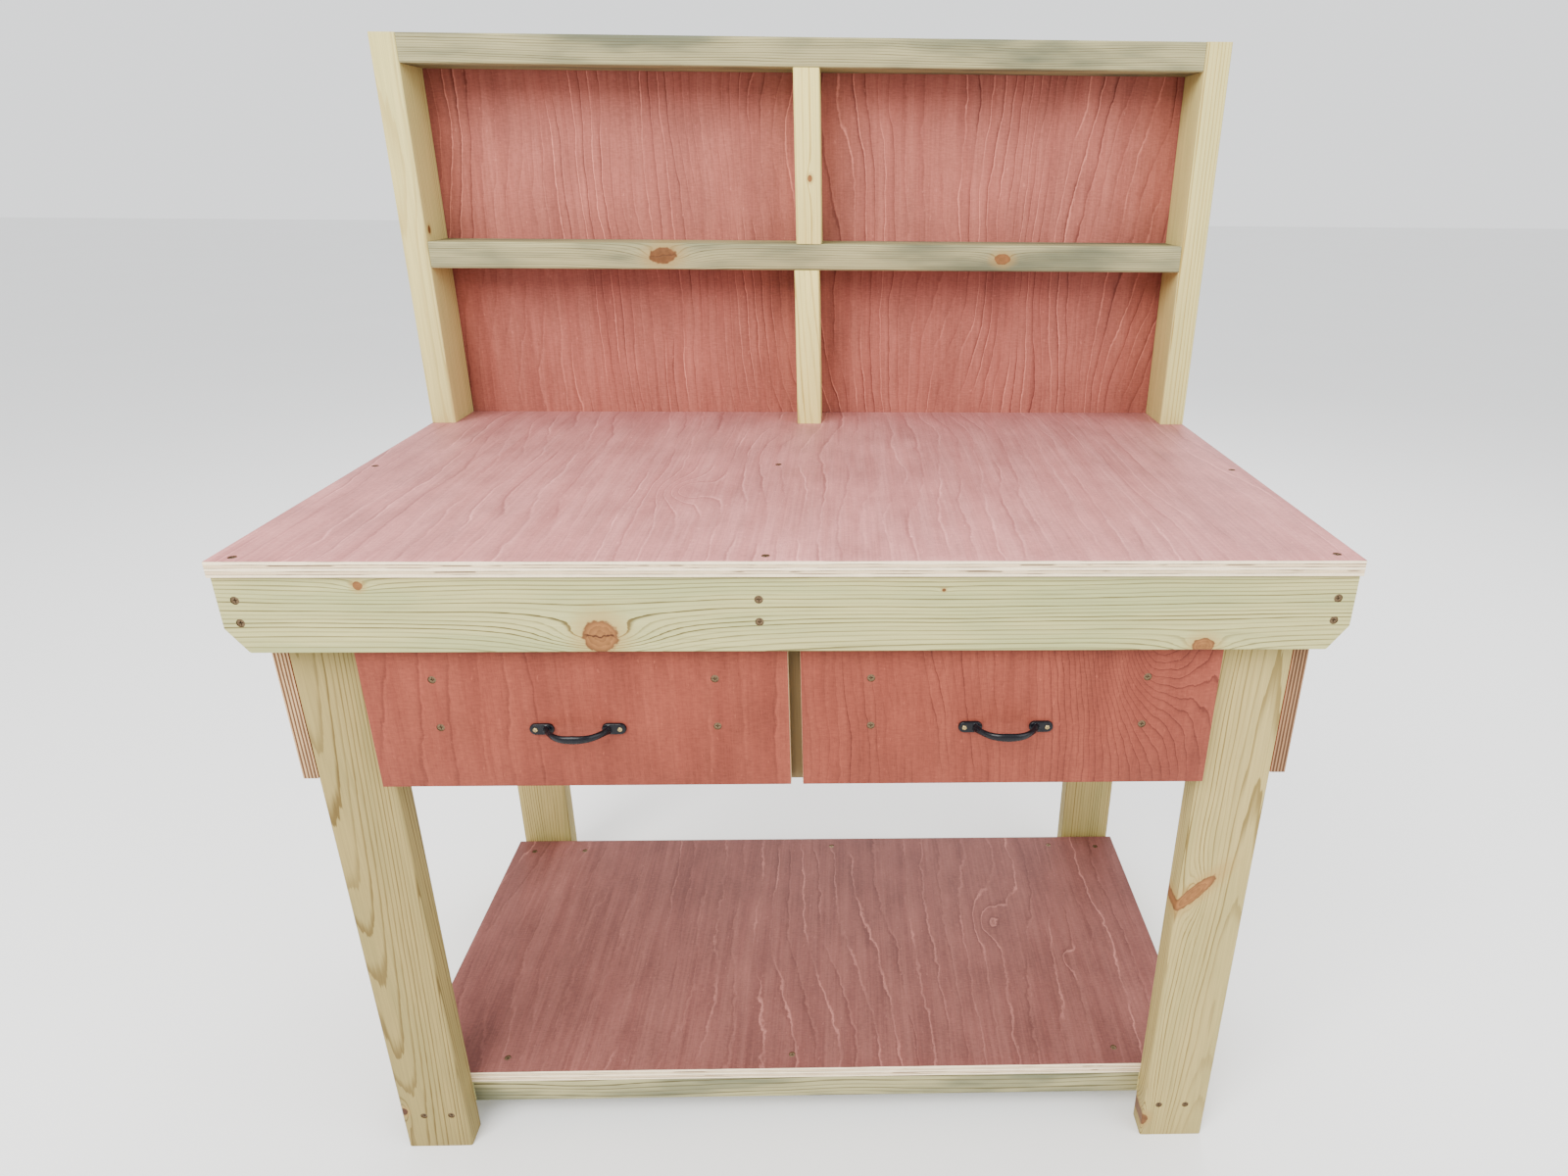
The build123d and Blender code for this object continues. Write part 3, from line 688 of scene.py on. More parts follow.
@dataclass(frozen=True)
class MetalFinish:
    """Small metalware: cast and painted, plated or bare."""

    colour: Colour
    worn: Colour
    metallic: float
    smooth: float
    rough: float
    grain: float = 0.8
    scuff: float = 6.0
    relief: float = 0.25
    gloss: float = 0.5

    def material(self, name: str, groups: Groups) -> bpy.types.Material:
        """Makes the finish."""
        material, graph, shader = new_material(name)
        place = in_millimetres(graph, Vector(), Matrix.Identity(3))
        skin = place_group(graph, groups.skin, Vector=place, Grain_Size=self.grain, Scuff_Size=self.scuff)
        graph.feed(shader.inputs["Base Color"], graph.mix(skin.outputs["Scuff"], self.colour, self.worn))
        spread = graph.times(skin.outputs["Scuff"], self.rough - self.smooth)
        graph.feed(shader.inputs["Roughness"], graph.total(spread, self.smooth))
        shader.inputs["Metallic"].default_value = self.metallic
        shader.inputs["Specular IOR Level"].default_value = self.gloss
        add_bump(graph, shader, skin.outputs["Height"], self.relief, 0.0003)
        return material


# ---------------------------------------------------------------------------------------------------------
# Mesh work
# ---------------------------------------------------------------------------------------------------------


def clear_selection() -> None:
    """Leaves edit mode and deselects every object."""
    if bpy.context.object and bpy.context.object.mode != "OBJECT":
        bpy.ops.object.mode_set(mode="OBJECT")
    bpy.ops.object.select_all(action="DESELECT")


def make_active(piece: bpy.types.Object) -> None:
    """Selects one object alone and makes it active."""
    clear_selection()
    piece.select_set(True)
    bpy.context.view_layer.objects.active = piece


def settle(piece: bpy.types.Object) -> None:
    """Puts an object's place, turn and size into its mesh."""
    make_active(piece)
    bpy.ops.object.transform_apply(location=True, rotation=True, scale=True)


def block(name: str, low: Vector, high: Vector) -> bpy.types.Object:
    """A box between two corners, its object at the origin."""
    clear_selection()
    bpy.ops.mesh.primitive_cube_add(size=1.0, location=(low + high) / 2)
    piece = bpy.context.object
    piece.scale = high - low
    piece.name = name
    settle(piece)
    return piece


def edit_with(piece: bpy.types.Object, kind: str, wanted: Callable[[Any], bool]) -> None:
    """Opens a mesh in edit mode with only the parts that pass a test selected.

    Args:
        piece: The mesh object.
        kind: "VERT", "EDGE" or "FACE".
        wanted: Says whether a vertex, edge or face is selected.
    """
    make_active(piece)
    bpy.ops.object.mode_set(mode="EDIT")
    bpy.ops.mesh.select_mode(type=kind)
    bpy.ops.mesh.select_all(action="DESELECT")
    work = bmesh.from_edit_mesh(piece.data)
    for part in {"VERT": work.verts, "EDGE": work.edges, "FACE": work.faces}[kind]:
        part.select_set(wanted(part))
    bmesh.update_edit_mesh(piece.data)


def bevel_edges(
    piece: bpy.types.Object, wanted: Callable[[bmesh.types.BMEdge], bool], width: float, segments: int
) -> None:
    """Bevels the edges of a mesh that pass a test.

    Args:
        piece: The mesh object.
        wanted: Says whether an edge is bevelled.
        width: Width of the bevel in metres.
        segments: Its number of segments.
    """
    edit_with(piece, "EDGE", wanted)
    bpy.ops.mesh.bevel(offset=width, segments=segments, profile=0.5, affect="EDGES")
    bpy.ops.object.mode_set(mode="OBJECT")


def at_height(edge: bmesh.types.BMEdge, height: float) -> bool:
    """Whether an edge lies level at a height."""
    return all(abs(vertex.co.z - height) < TOUCH for vertex in edge.verts)


def modify(piece: bpy.types.Object, kind: str, **settings: object) -> None:
    """Adds a modifier of a kind, sets it and applies it."""
    make_active(piece)
    modifier = piece.modifiers.new(kind.lower(), kind)
    for key, value in settings.items():
        setattr(modifier, key, value)
    bpy.ops.object.modifier_apply(modifier=modifier.name)


def cut_away(piece: bpy.types.Object, cutter: bpy.types.Object) -> None:
    """Cuts a cutter's shape out of a mesh, lines the cut with its material and deletes the cutter."""
    modify(piece, "BOOLEAN", object=cutter, operation="DIFFERENCE", solver="EXACT", material_mode="TRANSFER")
    bpy.data.objects.remove(cutter)


def smooth_by_angle(piece: bpy.types.Object, degrees: float = 32.0) -> None:
    """Shades smooth, keeping edges sharper than an angle."""
    make_active(piece)
    bpy.ops.object.shade_smooth_by_angle(angle=math.radians(degrees))


def dress(piece: bpy.types.Object, material: bpy.types.Material) -> None:
    """Gives a mesh one material all over."""
    piece.data.materials.clear()
    piece.data.materials.append(material)


def copies(template: bpy.types.Object, places: Iterable[Matrix], name: str) -> bpy.types.Object:
    """Copies of a template, each at its own place, joined into one object at the origin."""
    made = []
    for place in places:
        twin = template.copy()
        twin.data = template.data.copy()
        twin.data.transform(place)
        bpy.context.scene.collection.objects.link(twin)
        made.append(twin)
    clear_selection()
    for twin in made:
        twin.select_set(True)
    bpy.context.view_layer.objects.active = made[0]
    if len(made) > 1:
        bpy.ops.object.join()
    made[0].name = name
    return made[0]


@dataclass(frozen=True)
class ScrewPlace:
    """Where a sunk screw's head lies and which way it faces."""

    head: Vector
    facing: Vector

    def matrix(self, lift: float = 0.0, turn: float = 0.0) -> Matrix:
        """Places a screw made about Z, its top at the origin, here.

        Args:
            lift: How far out along the facing direction it is moved, in metres.
            turn: Its turn about its own axis, in radians.

        Returns:
            The placing matrix.
        """
        rotation = Vector((0, 0, 1)).rotation_difference(self.facing).to_matrix().to_4x4()
        spin = Matrix.Rotation(turn, 4, "Z")
        return Matrix.Translation(self.head + self.facing * lift) @ rotation @ spin


def loose_solids(node: str) -> list[list[Vector]]:
    """The corner points of each separate solid of a CAD node."""
    mesh = frame["nodes"][node].data
    parent: dict[tuple[int, ...], tuple[int, ...]] = {}

    def find(key: tuple[int, ...]) -> tuple[int, ...]:
        """The set that a point belongs to."""
        while parent[key] != key:
            parent[key] = parent[parent[key]]
            key = parent[key]
        return key

    keys = [tuple(round(value * 1e5) for value in vertex.co) for vertex in mesh.vertices]
    for key in keys:
        parent.setdefault(key, key)
    for polygon in mesh.polygons:
        first, *rest = [find(keys[index]) for index in polygon.vertices]
        for other in rest:
            parent[find(other)] = find(first)
    solids: dict[tuple[int, ...], list[Vector]] = {}
    for key in parent:
        solids.setdefault(find(key), []).append(Vector(key) * 1e-5)
    return list(solids.values())


def screw_places(node: str) -> list[ScrewPlace]:
    """Finds every screw of a CAD node: its head's middle and the way it faces."""
    found = []
    for points in loose_solids(node):
        low = Vector([min(point[i] for point in points) for i in range(3)])
        high = Vector([max(point[i] for point in points) for i in range(3)])
        size = high - low
        axis = max(range(3), key=lambda i: size[i])
        middle = (low + high) / 2

        def girth(end: float) -> float:
            """Widest reach from the screw's line near one end."""
            near = [point for point in points if abs(point[axis] - end) < HEAD_BAND]
            flat = [point - middle for point in near]
            for vector in flat:
                vector[axis] = 0.0
            return max((vector.length for vector in flat), default=0.0)

        facing = Vector((0.0, 0.0, 0.0))
        facing[axis] = 1.0 if girth(high[axis]) > girth(low[axis]) else -1.0
        head = middle.copy()
        head[axis] = high[axis] if facing[axis] > 0 else low[axis]
        found.append(ScrewPlace(head, facing))
    return sorted(found, key=lambda place: tuple(place.head))


@dataclass
class ScrewHoles:
    """Sunk holes cut in the boards over every wood screw of the bench."""

    nodes: tuple[str, ...]
    lining: bpy.types.Material
    sink: float = 1.0 * MM
    mouth_radius: float = 4.7 * MM
    throat_radius: float = 2.6 * MM
    throat_depth: float = 4.0 * MM
    proud: float = 1.0 * MM
    sides: int = 28
    margin: float = 2.0 * MM
    nearness: float = 1.5 * MM

    def __post_init__(self) -> None:
        """Finds the screws once."""
        self.places = [place for node in self.nodes for place in screw_places(node)]

    def template(self) -> bpy.types.Object:
        """The shape of one hole about Z, the surface at the origin: a mouth, a cone and a throat."""
        clear_selection()
        bpy.ops.mesh.primitive_circle_add(
            vertices=self.sides, radius=self.mouth_radius, fill_type="NGON", location=(0, 0, self.proud)
        )
        cutter = bpy.context.object
        bpy.ops.object.mode_set(mode="EDIT")
        bpy.ops.mesh.select_all(action="SELECT")
        narrowing = self.throat_radius / self.mouth_radius
        cone = self.mouth_radius - self.throat_radius
        for drop, shrink in ((self.proud + self.sink, 1.0), (cone, narrowing), (self.throat_depth, 1.0)):
            bpy.ops.mesh.extrude_region_move(TRANSFORM_OT_translate={"value": (0, 0, -drop)})
            bpy.ops.transform.resize(value=(shrink, shrink, 1.0))
        bpy.ops.mesh.select_all(action="SELECT")
        bpy.ops.mesh.normals_make_consistent(inside=False)
        bpy.ops.object.mode_set(mode="OBJECT")
        settle(cutter)
        return cutter

    def over(self, low: Vector, high: Vector) -> list[ScrewPlace]:
        """The screws whose heads are sunk in the surface of a box."""
        found = []
        for place in self.places:
            surface = place.head + place.facing * self.sink
            inside = all(low[i] - self.margin < surface[i] < high[i] + self.margin for i in range(3))
            axis = max(range(3), key=lambda i: abs(place.facing[i]))
            face = high[axis] if place.facing[axis] > 0 else low[axis]
            if inside and abs(surface[axis] - face) < self.nearness:
                found.append(place)
        return found

    def cut(self, piece: bpy.types.Object, low: Vector, high: Vector) -> int:
        """Cuts the holes that belong to a board and returns how many there were."""
        places = self.over(low, high)
        if places:
            template = self.template()
            cutter = copies(template, [place.matrix(self.sink) for place in places], "hole_cutter")
            bpy.data.objects.remove(template)
            dress(cutter, self.lining)
            cut_away(piece, cutter)
        return len(places)


@dataclass
class Workshop:
    """What every sub-assembly needs: shader groups, screw holes and the body of each node."""

    groups: Groups
    holes: ScrewHoles
    slots: dict[str, str] = field(default_factory=dict)
    bodies: dict[str, str] = field(default_factory=dict)

    def __post_init__(self) -> None:
        """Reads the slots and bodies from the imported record."""
        record = frame["record"]
        self.slots = {part["node"]: part["material_slot"] for part in record["subparts"]}
        for body, nodes in record["behaviour"]["bodies"].items():
            self.bodies.update(dict.fromkeys(nodes, body))

    def stand_for(self, piece: bpy.types.Object, node: str) -> None:
        """Says that a finished piece stands for a CAD node, on that node's body."""
        piece.name = f"{node}_piece"
        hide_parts(node)
        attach(piece, self.bodies[node])
        LOG.info("%s stands for %s, %d faces", piece.name, node, len(piece.data.polygons))

    def refinish(self, node: str, material: bpy.types.Material) -> None:
        """Gives a CAD node, whose shape is right, a better material."""
        dress(frame["nodes"][node], material)
        LOG.info("%s keeps its shape, finished in %s", node, material.name)


@dataclass(frozen=True)
class Plank:
    """A planed pine board: long edges eased, sawn ends just broken, screw holes cut."""

    node: str
    grain: Axis
    across: Axis
    finish: PineFinish
    eased: float = 3.0 * MM
    eased_segments: int = 5
    broken: float = 0.5 * MM
    clip: tuple[float, float] | None = None

    def build(self, shop: Workshop) -> bpy.types.Object:
        """Models, dresses and mounts the board."""
        low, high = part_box(self.node)
        along = self.grain.value
        piece = block(self.node, low, high)
        lie = GrainFrame.of_node(self.node, self.grain, self.across)
        dress(piece, self.finish.material(f"pine_{self.node}", lie, shop.groups))
        bevel_edges(piece, lambda edge: self.runs_along(edge), self.eased, self.eased_segments)
        if self.clip:
            self.clip_corners(piece, low, high)
        ends = (low[along], high[along])
        bevel_edges(piece, lambda edge: self.at_end(edge, ends), self.broken, 2)
        shop.holes.cut(piece, low, high)
        smooth_by_angle(piece)
        shop.stand_for(piece, self.node)
        return piece

    def runs_along(self, edge: bmesh.types.BMEdge) -> bool:
        """Whether an edge runs with the grain."""
        step = edge.verts[1].co - edge.verts[0].co
        return abs(step[self.grain.value]) > 0.99 * step.length

    def at_end(self, edge: bmesh.types.BMEdge, ends: tuple[float, float]) -> bool:
        """Whether an edge lies round a sawn end."""
        return any(all(abs(v.co[self.grain.value] - end) < 1e-5 for v in edge.verts) for end in ends)

    def clip_corners(self, piece: bpy.types.Object, low: Vector, high: Vector) -> None:
        """Saws off the two lower corners of a board that runs along X."""
        length, height = self.clip
        for side, end in ((-1.0, low.x), (1.0, high.x)):
            make_active(piece)
            bpy.ops.object.mode_set(mode="EDIT")
            bpy.ops.mesh.select_all(action="SELECT")
            bpy.ops.mesh.bisect(
                plane_co=(end, low.y, low.z + height),
                plane_no=(side * height, 0.0, -length),
                use_fill=True,
                clear_outer=True,
            )
            bpy.ops.object.mode_set(mode="OBJECT")


@dataclass(frozen=True)
class PlySheet:
    """A square-cut sheet of plywood with its arrises just sanded and its screw holes cut."""

    node: str
    grain: Axis
    across: Axis
    finish: PlyFinish
    sanded: float = 0.7 * MM

    def build(self, shop: Workshop) -> bpy.types.Object:
        """Models, dresses and mounts the sheet."""
        low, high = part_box(self.node)
        piece = block(self.node, low, high)
        lie = GrainFrame.of_node(self.node, self.grain, self.across)
        dress(piece, self.finish.material(f"ply_{self.node}", lie, shop.groups))
        bevel_edges(piece, lambda edge: True, self.sanded, 2)
        shop.holes.cut(piece, low, high)
        smooth_by_angle(piece)
        shop.stand_for(piece, self.node)
        return piece


# ---------------------------------------------------------------------------------------------------------
# Sub-assemblies
# ---------------------------------------------------------------------------------------------------------


@dataclass
class TopFrame:
    """The aprons, the joist, the legs and the rails that carry the runners."""

    clip: tuple[float, float] = (22.0 * MM, 30.0 * MM)

    def planks(self) -> list[Plank]:
        """Every board of the frame with its own figure."""
        apron_knots = (
            Knot(-210, -25, 20, 1.0, 0.0, 0.05),
            Knot(-458, 34, 5.0, 1.1, 0.0, 0.35),
            Knot(449, -39, 10.0, 1.3, 0.0, 0.1),
            Knot(160, 28, 1.8, 1.2, 0.0, 0.6),
        )
        right_leg_knots = (
            Knot(-9.5, -25, 9.5, 4.2, 0.72, 0.0),
            Knot(-413, -45, 8.0, 1.4, 0.4, 0.5),
        )
        left_leg_knots = (Knot(-375, -41, 5.5, 1.2, 0.2, 0.9),)
        apron = PineFinish(1.3, PineTone.GREEN, (-62, 48, 0.010), 4.4, 24, 0.6, apron_knots)
        left_leg = PineFinish(6.4, PineTone.BROWN, (-32, 46, 0.030), 3.2, 12, 0.3, left_leg_knots)
        right_leg = PineFinish(7.9, PineTone.OLIVE, (34, 52, -0.022), 3.2, 12, 0.3, right_leg_knots)
        return [
            Plank("front_apron", X, Z, apron, clip=self.clip),
            Plank("back_apron", X, Z, PineFinish(2.7, PineTone.GREEN, (70, 35, -0.02), 4.4)),
            Plank("left_side_apron", Y, Z, PineFinish(3.1, PineTone.CREAM, (55, 30, 0.03), 4.0)),
            Plank("right_side_apron", Y, Z, PineFinish(4.6, PineTone.GREEN, (-65, 35, 0.0), 4.8)),
            Plank("centre_joist", Y, Z, PineFinish(5.2, PineTone.CREAM, (80, 10, 0.0), 4.5)),
            Plank("left_front_leg", Z, X, left_leg),
            Plank("right_front_leg", Z, X, right_leg),
            Plank("left_back_leg", Z, X, PineFinish(8.5, PineTone.OLIVE, (60, 25, 0.0), 4.0, 12, 0.5)),
            Plank("right_back_leg", Z, X, PineFinish(9.1, PineTone.OLIVE, (-70, 25, 0.0), 4.2, 12, 0.5)),
            # The front post gets a tone darkened to paint the shade of the gap between the drawers.
            Plank("divider_front_post", Z, Y, PineFinish(10.3, PineTone.UMBER, (60, 25, 0.0), 4.2)),
            Plank("divider_back_post", Z, Y, PineFinish(11.7, PineTone.CREAM, (60, 25, 0.0), 4.2)),
            Plank("centre_runner_rail", Y, Z, PineFinish(12.9, PineTone.GREEN, (60, 25, 0.0), 4.6)),
            Plank("left_runner_rail", Y, Z, PineFinish(13.4, PineTone.CREAM, (-60, 25, 0.0), 4.2)),
            Plank("right_runner_rail", Y, Z, PineFinish(14.8, PineTone.GREEN, (60, -25, 0.0), 4.2)),
        ]


@dataclass
class ShelfFrame:
    """The four rails laid flat under the lower shelf."""

    def planks(self) -> list[Plank]:
        """Every rail with its own figure."""
        return [
            Plank("shelf_front_rail", X, Y, PineFinish(15.5, PineTone.GREY, (55, 60, 0.0), 4.0, 16, 1.0)),
            Plank("shelf_back_rail", X, Y, PineFinish(16.2, PineTone.GREEN, (70, 20, 0.0), 4.2)),
            Plank("left_shelf_side_rail", Y, X, PineFinish(17.6, PineTone.GREEN, (60, 25, 0.0), 4.4)),
            Plank("right_shelf_side_rail", Y, X, PineFinish(18.1, PineTone.CREAM, (60, 25, 0.0), 4.4)),
        ]


@dataclass
class BackFrame:
    """The uprights, rails and stiles that stand on the worktop."""

    def planks(self) -> list[Plank]:
        """Every board of the back frame with its own figure."""
        mid_knots = (Knot(-221, 1, 12.5, 1.7, 0.1, 0.55), Knot(297, -1, 8.0, 1.6, 0.0, 0.25))
        upright_knots = (Knot(16, -29, 5.0, 1.2, 0.0, 0.4),)
        stile_knots = (Knot(-27, 3, 3.4, 1.4, 0.0, 0.0),)
        left_upright = PineFinish(19.7, PineTone.CREAM, (62, 20, 0.0), 4.6, 14, 0.3, upright_knots)
        right_upright = PineFinish(20.4, PineTone.CREAM, (-64, 25, 0.0), 4.4, 14, 0.35)
        mid_rail = PineFinish(22.6, PineTone.GREY, (-46, 50, 0.0), 3.2, 18, 0.9, mid_knots)
        upper_stile = PineFinish(24.8, PineTone.PALE, (-42, 45, 0.0), 4.4, 12, 0.3, stile_knots)
        return [
            Plank("left_back_upright", Z, Y, left_upright),
            Plank("right_back_upright", Z, Y, right_upright),
            Plank("back_top_rail", X, Z, PineFinish(21.9, PineTone.GREY, (40, 55, 0.01), 3.2, 18, 1.0)),
            Plank("back_mid_rail", X, Z, mid_rail),
            Plank("back_lower_stile", Z, X, PineFinish(23.3, PineTone.PALE, (40, 45, 0.02), 4.2, 12, 0.3)),
            Plank("back_upper_stile", Z, X, upper_stile),
        ]


@dataclass
class Panels:
    """The red plywood sheets fixed to the frame."""

    def sheets(self) -> list[PlySheet]:
        """Every sheet with its own figure."""
        striped = {"face_grain": (0.47, 0.30, 0.155), "cross_grain": (0.12, 0.056, 0.026)}
        # Stain and painted shade: the right panel's plies darkened further for its shaded side.
        stained_and_shaded = {"face_grain": (0.285, 0.155, 0.078), "cross_grain": (0.085, 0.038, 0.018)}
        creamy = {"plies": 5.0, "face_grain": (0.84, 0.69, 0.47), "cross_grain": (0.66, 0.50, 0.31)}
        worktop = PlyFinish(
            1.7, PlyTone.TOP, spacing=26, swing=150, pale_lines=0.34, dark_lines=0.4, streaks=0.6,
            whorls=((-105, -149, 46),), **creamy,
        )
        shelf = PlyFinish(
            2.9, PlyTone.SHELF, spacing=34, swing=230, wobble=22, pale_lines=0.75, dark_lines=0.35,
            streaks=0.6, whorls=((34, 303, 34), (-64, 419, 17)), **creamy,
        )
        back = PlyFinish(
            3.4, PlyTone.BACK, 12.0, 7.0, spacing=17, swing=260, pale_lines=0.85, dark_lines=0.75, streaks=0.5
        )
        return [
            PlySheet("worktop", Y, X, worktop),
            PlySheet("lower_shelf", Y, X, shelf),
            PlySheet("back_panel", Z, X, back),
            PlySheet("left_side_panel", Z, Y, PlyFinish(4.1, PlyTone.FRONT, **striped)),
            PlySheet("right_side_panel", Z, Y, PlyFinish(5.6, PlyTone.FRONT, **stained_and_shaded)),
        ]


@dataclass
class CastHandle:
    """A cast iron bow pull: two lugs with a bow rising between them, blended into one skin."""

    reach: float = 27.6 * MM
    half_holes: float = 48.0 * MM
    lug_radius: float = 7.0 * MM
    lug_height: float = 4.0 * MM
    lug_tail: float = 14.0 * MM
    lug_round: float = 1.4 * MM
    lug_sides: int = 40
    hole_radius: float = 1.9 * MM
    hole_depth: float = 20.0 * MM
    hole_sides: int = 28
    half_span: float = 37.0 * MM
    foot_height: float = 2.2 * MM
    flatness: float = 2.8
    half_width: float = 5.2 * MM
    width_taper: float = 1.6 * MM
    foot_flare: float = 9.5 * MM
    half_depth: float = 3.3 * MM
    depth_taper: float = 0.5 * MM
    stations: int = 33
    loop_sides: int = 20
    voxel: float = 0.55 * MM

    def bow_point(self, share: float) -> tuple[Vector, Vector]:
        """The bow's centre line, worked out as a flattened arch.

        Args:
            share: From 0 at one foot to 1 at the other.

        Returns:
            The point and the direction there, with X along the handle and Z out from the drawer.
        """
        def at(part: float) -> Vector:
            """A point of the arch."""
            sway = (part - 0.5) * 2.0
            rise = 1.0 - abs(sway) ** self.flatness
            height = self.foot_height + rise * (self.reach - self.foot_height)
            return Vector((sway * self.half_span, 0.0, height))

        step = 0.004
        ahead, behind = at(min(1.0, share + step)), at(max(0.0, share - step))
        return at(share), (ahead - behind).normalized()

    def bow(self) -> bpy.types.Object:
        """The bow: section loops set along the arch and bridged, thick in the middle and at the feet."""
        clear_selection()
        loops = []
        for index in range(self.stations):
            share = index / (self.stations - 1)
            point, heading = self.bow_point(share)
            foot = abs(share - 0.5) * 2
            wide = self.half_width - self.width_taper * foot + self.foot_flare * max(0.0, foot - 0.8)
            deep = self.half_depth - self.depth_taper * foot
            tilt = Vector((0, 0, 1)).rotation_difference(heading).to_matrix().to_4x4()
            bpy.ops.mesh.primitive_circle_add(vertices=self.loop_sides, radius=1.0, fill_type="NOTHING")
            loop = bpy.context.object
            loop.data.transform(Matrix.Translation(point) @ tilt @ Matrix.Diagonal((deep, wide, 1, 1)))
            loops.append(loop)
        clear_selection()
        for loop in loops:
            loop.select_set(True)
        bpy.context.view_layer.objects.active = loops[0]
        bpy.ops.object.join()
        bpy.ops.object.mode_set(mode="EDIT")
        bpy.ops.mesh.select_all(action="SELECT")
        bpy.ops.mesh.bridge_edge_loops()
        bpy.ops.mesh.select_all(action="DESELECT")
        bpy.ops.mesh.select_non_manifold()
        bpy.ops.mesh.edge_face_add()
        bpy.ops.mesh.select_all(action="SELECT")
        bpy.ops.mesh.normals_make_consistent(inside=False)
        bpy.ops.object.mode_set(mode="OBJECT")
        return bpy.context.object

    def lug(self, side: float) -> bpy.types.Object:
        """One lug: a rounded tab, its top edge bevelled."""
        clear_selection()
        bpy.ops.mesh.primitive_cylinder_add(
            vertices=self.lug_sides,
            radius=self.lug_radius,
            depth=self.lug_height,
            location=(side * self.half_holes, 0, self.lug_height / 2),
        )
        tab = bpy.context.object
        edit_with(tab, "VERT", lambda vertex: vertex.co.x * side < TOUCH)
        bpy.ops.transform.translate(value=(-side * self.lug_tail, 0, 0))
        bpy.ops.object.mode_set(mode="OBJECT")
        settle(tab)
        bevel_edges(tab, lambda edge: at_height(edge, self.lug_height), self.lug_round, 4)
        return tab

    def casting(self) -> bpy.types.Object:
        """The whole casting lying on Z = 0, remeshed so that its parts run into each other."""
        bow = self.bow()
        parts = (self.lug(-1.0), self.lug(1.0), bow)
        clear_selection()
        for part in parts:
            part.select_set(True)
        bpy.context.view_layer.objects.active = bow
        bpy.ops.object.join()
        settle(bow)
        modify(bow, "REMESH", mode="VOXEL", voxel_size=self.voxel)
        modify(bow, "SMOOTH", factor=0.6, iterations=5)
        for side in (-1.0, 1.0):
            clear_selection()
            bpy.ops.mesh.primitive_cylinder_add(
                vertices=self.hole_sides,
                radius=self.hole_radius,
                depth=self.hole_depth,
                location=(side * self.half_holes, 0, 0),
            )
            drill = bpy.context.object
            settle(drill)
            cut_away(bow, drill)
        smooth_by_angle(bow, 40.0)
        return bow


@dataclass
class DomedScrew:
    """A small brass screw with a domed, cross-cut head."""

    radius: float = 2.8 * MM
    dome: float = 1.4 * MM
    slot_width: float = 0.8 * MM
    slot_length: float = 3.6 * MM
    slot_depth: float = 0.9 * MM
    shank_radius: float = 1.5 * MM
    rounding: float = 1.1 * MM
    length: float = 14.0 * MM

    def template(self) -> bpy.types.Object:
        """One screw about Z, the underside of its head at the origin."""
        clear_selection()
        bpy.ops.mesh.primitive_cylinder_add(
            vertices=32, radius=self.radius, depth=self.dome, location=(0, 0, self.dome / 2)
        )
        screw = bpy.context.object
        settle(screw)
        top = self.dome
        bevel_edges(screw, lambda edge: at_height(edge, top), self.rounding, 5)
        edit_with(screw, "FACE", lambda face: face.normal.z < -0.9)
        bpy.ops.mesh.inset(thickness=self.radius - self.shank_radius)
        bpy.ops.mesh.extrude_region_move(TRANSFORM_OT_translate={"value": (0, 0, -self.length)})
        bpy.ops.object.mode_set(mode="OBJECT")
        half = Vector((self.slot_length / 2, self.slot_width / 2, self.slot_depth))
        for turned in (half, Vector((half.y, half.x, half.z))):
            low = Vector((-turned.x, -turned.y, top - self.slot_depth))
            high = Vector((turned.x, turned.y, top + self.slot_depth))
            cut_away(screw, block("slot_cutter", low, high))
        smooth_by_angle(screw)
        return screw


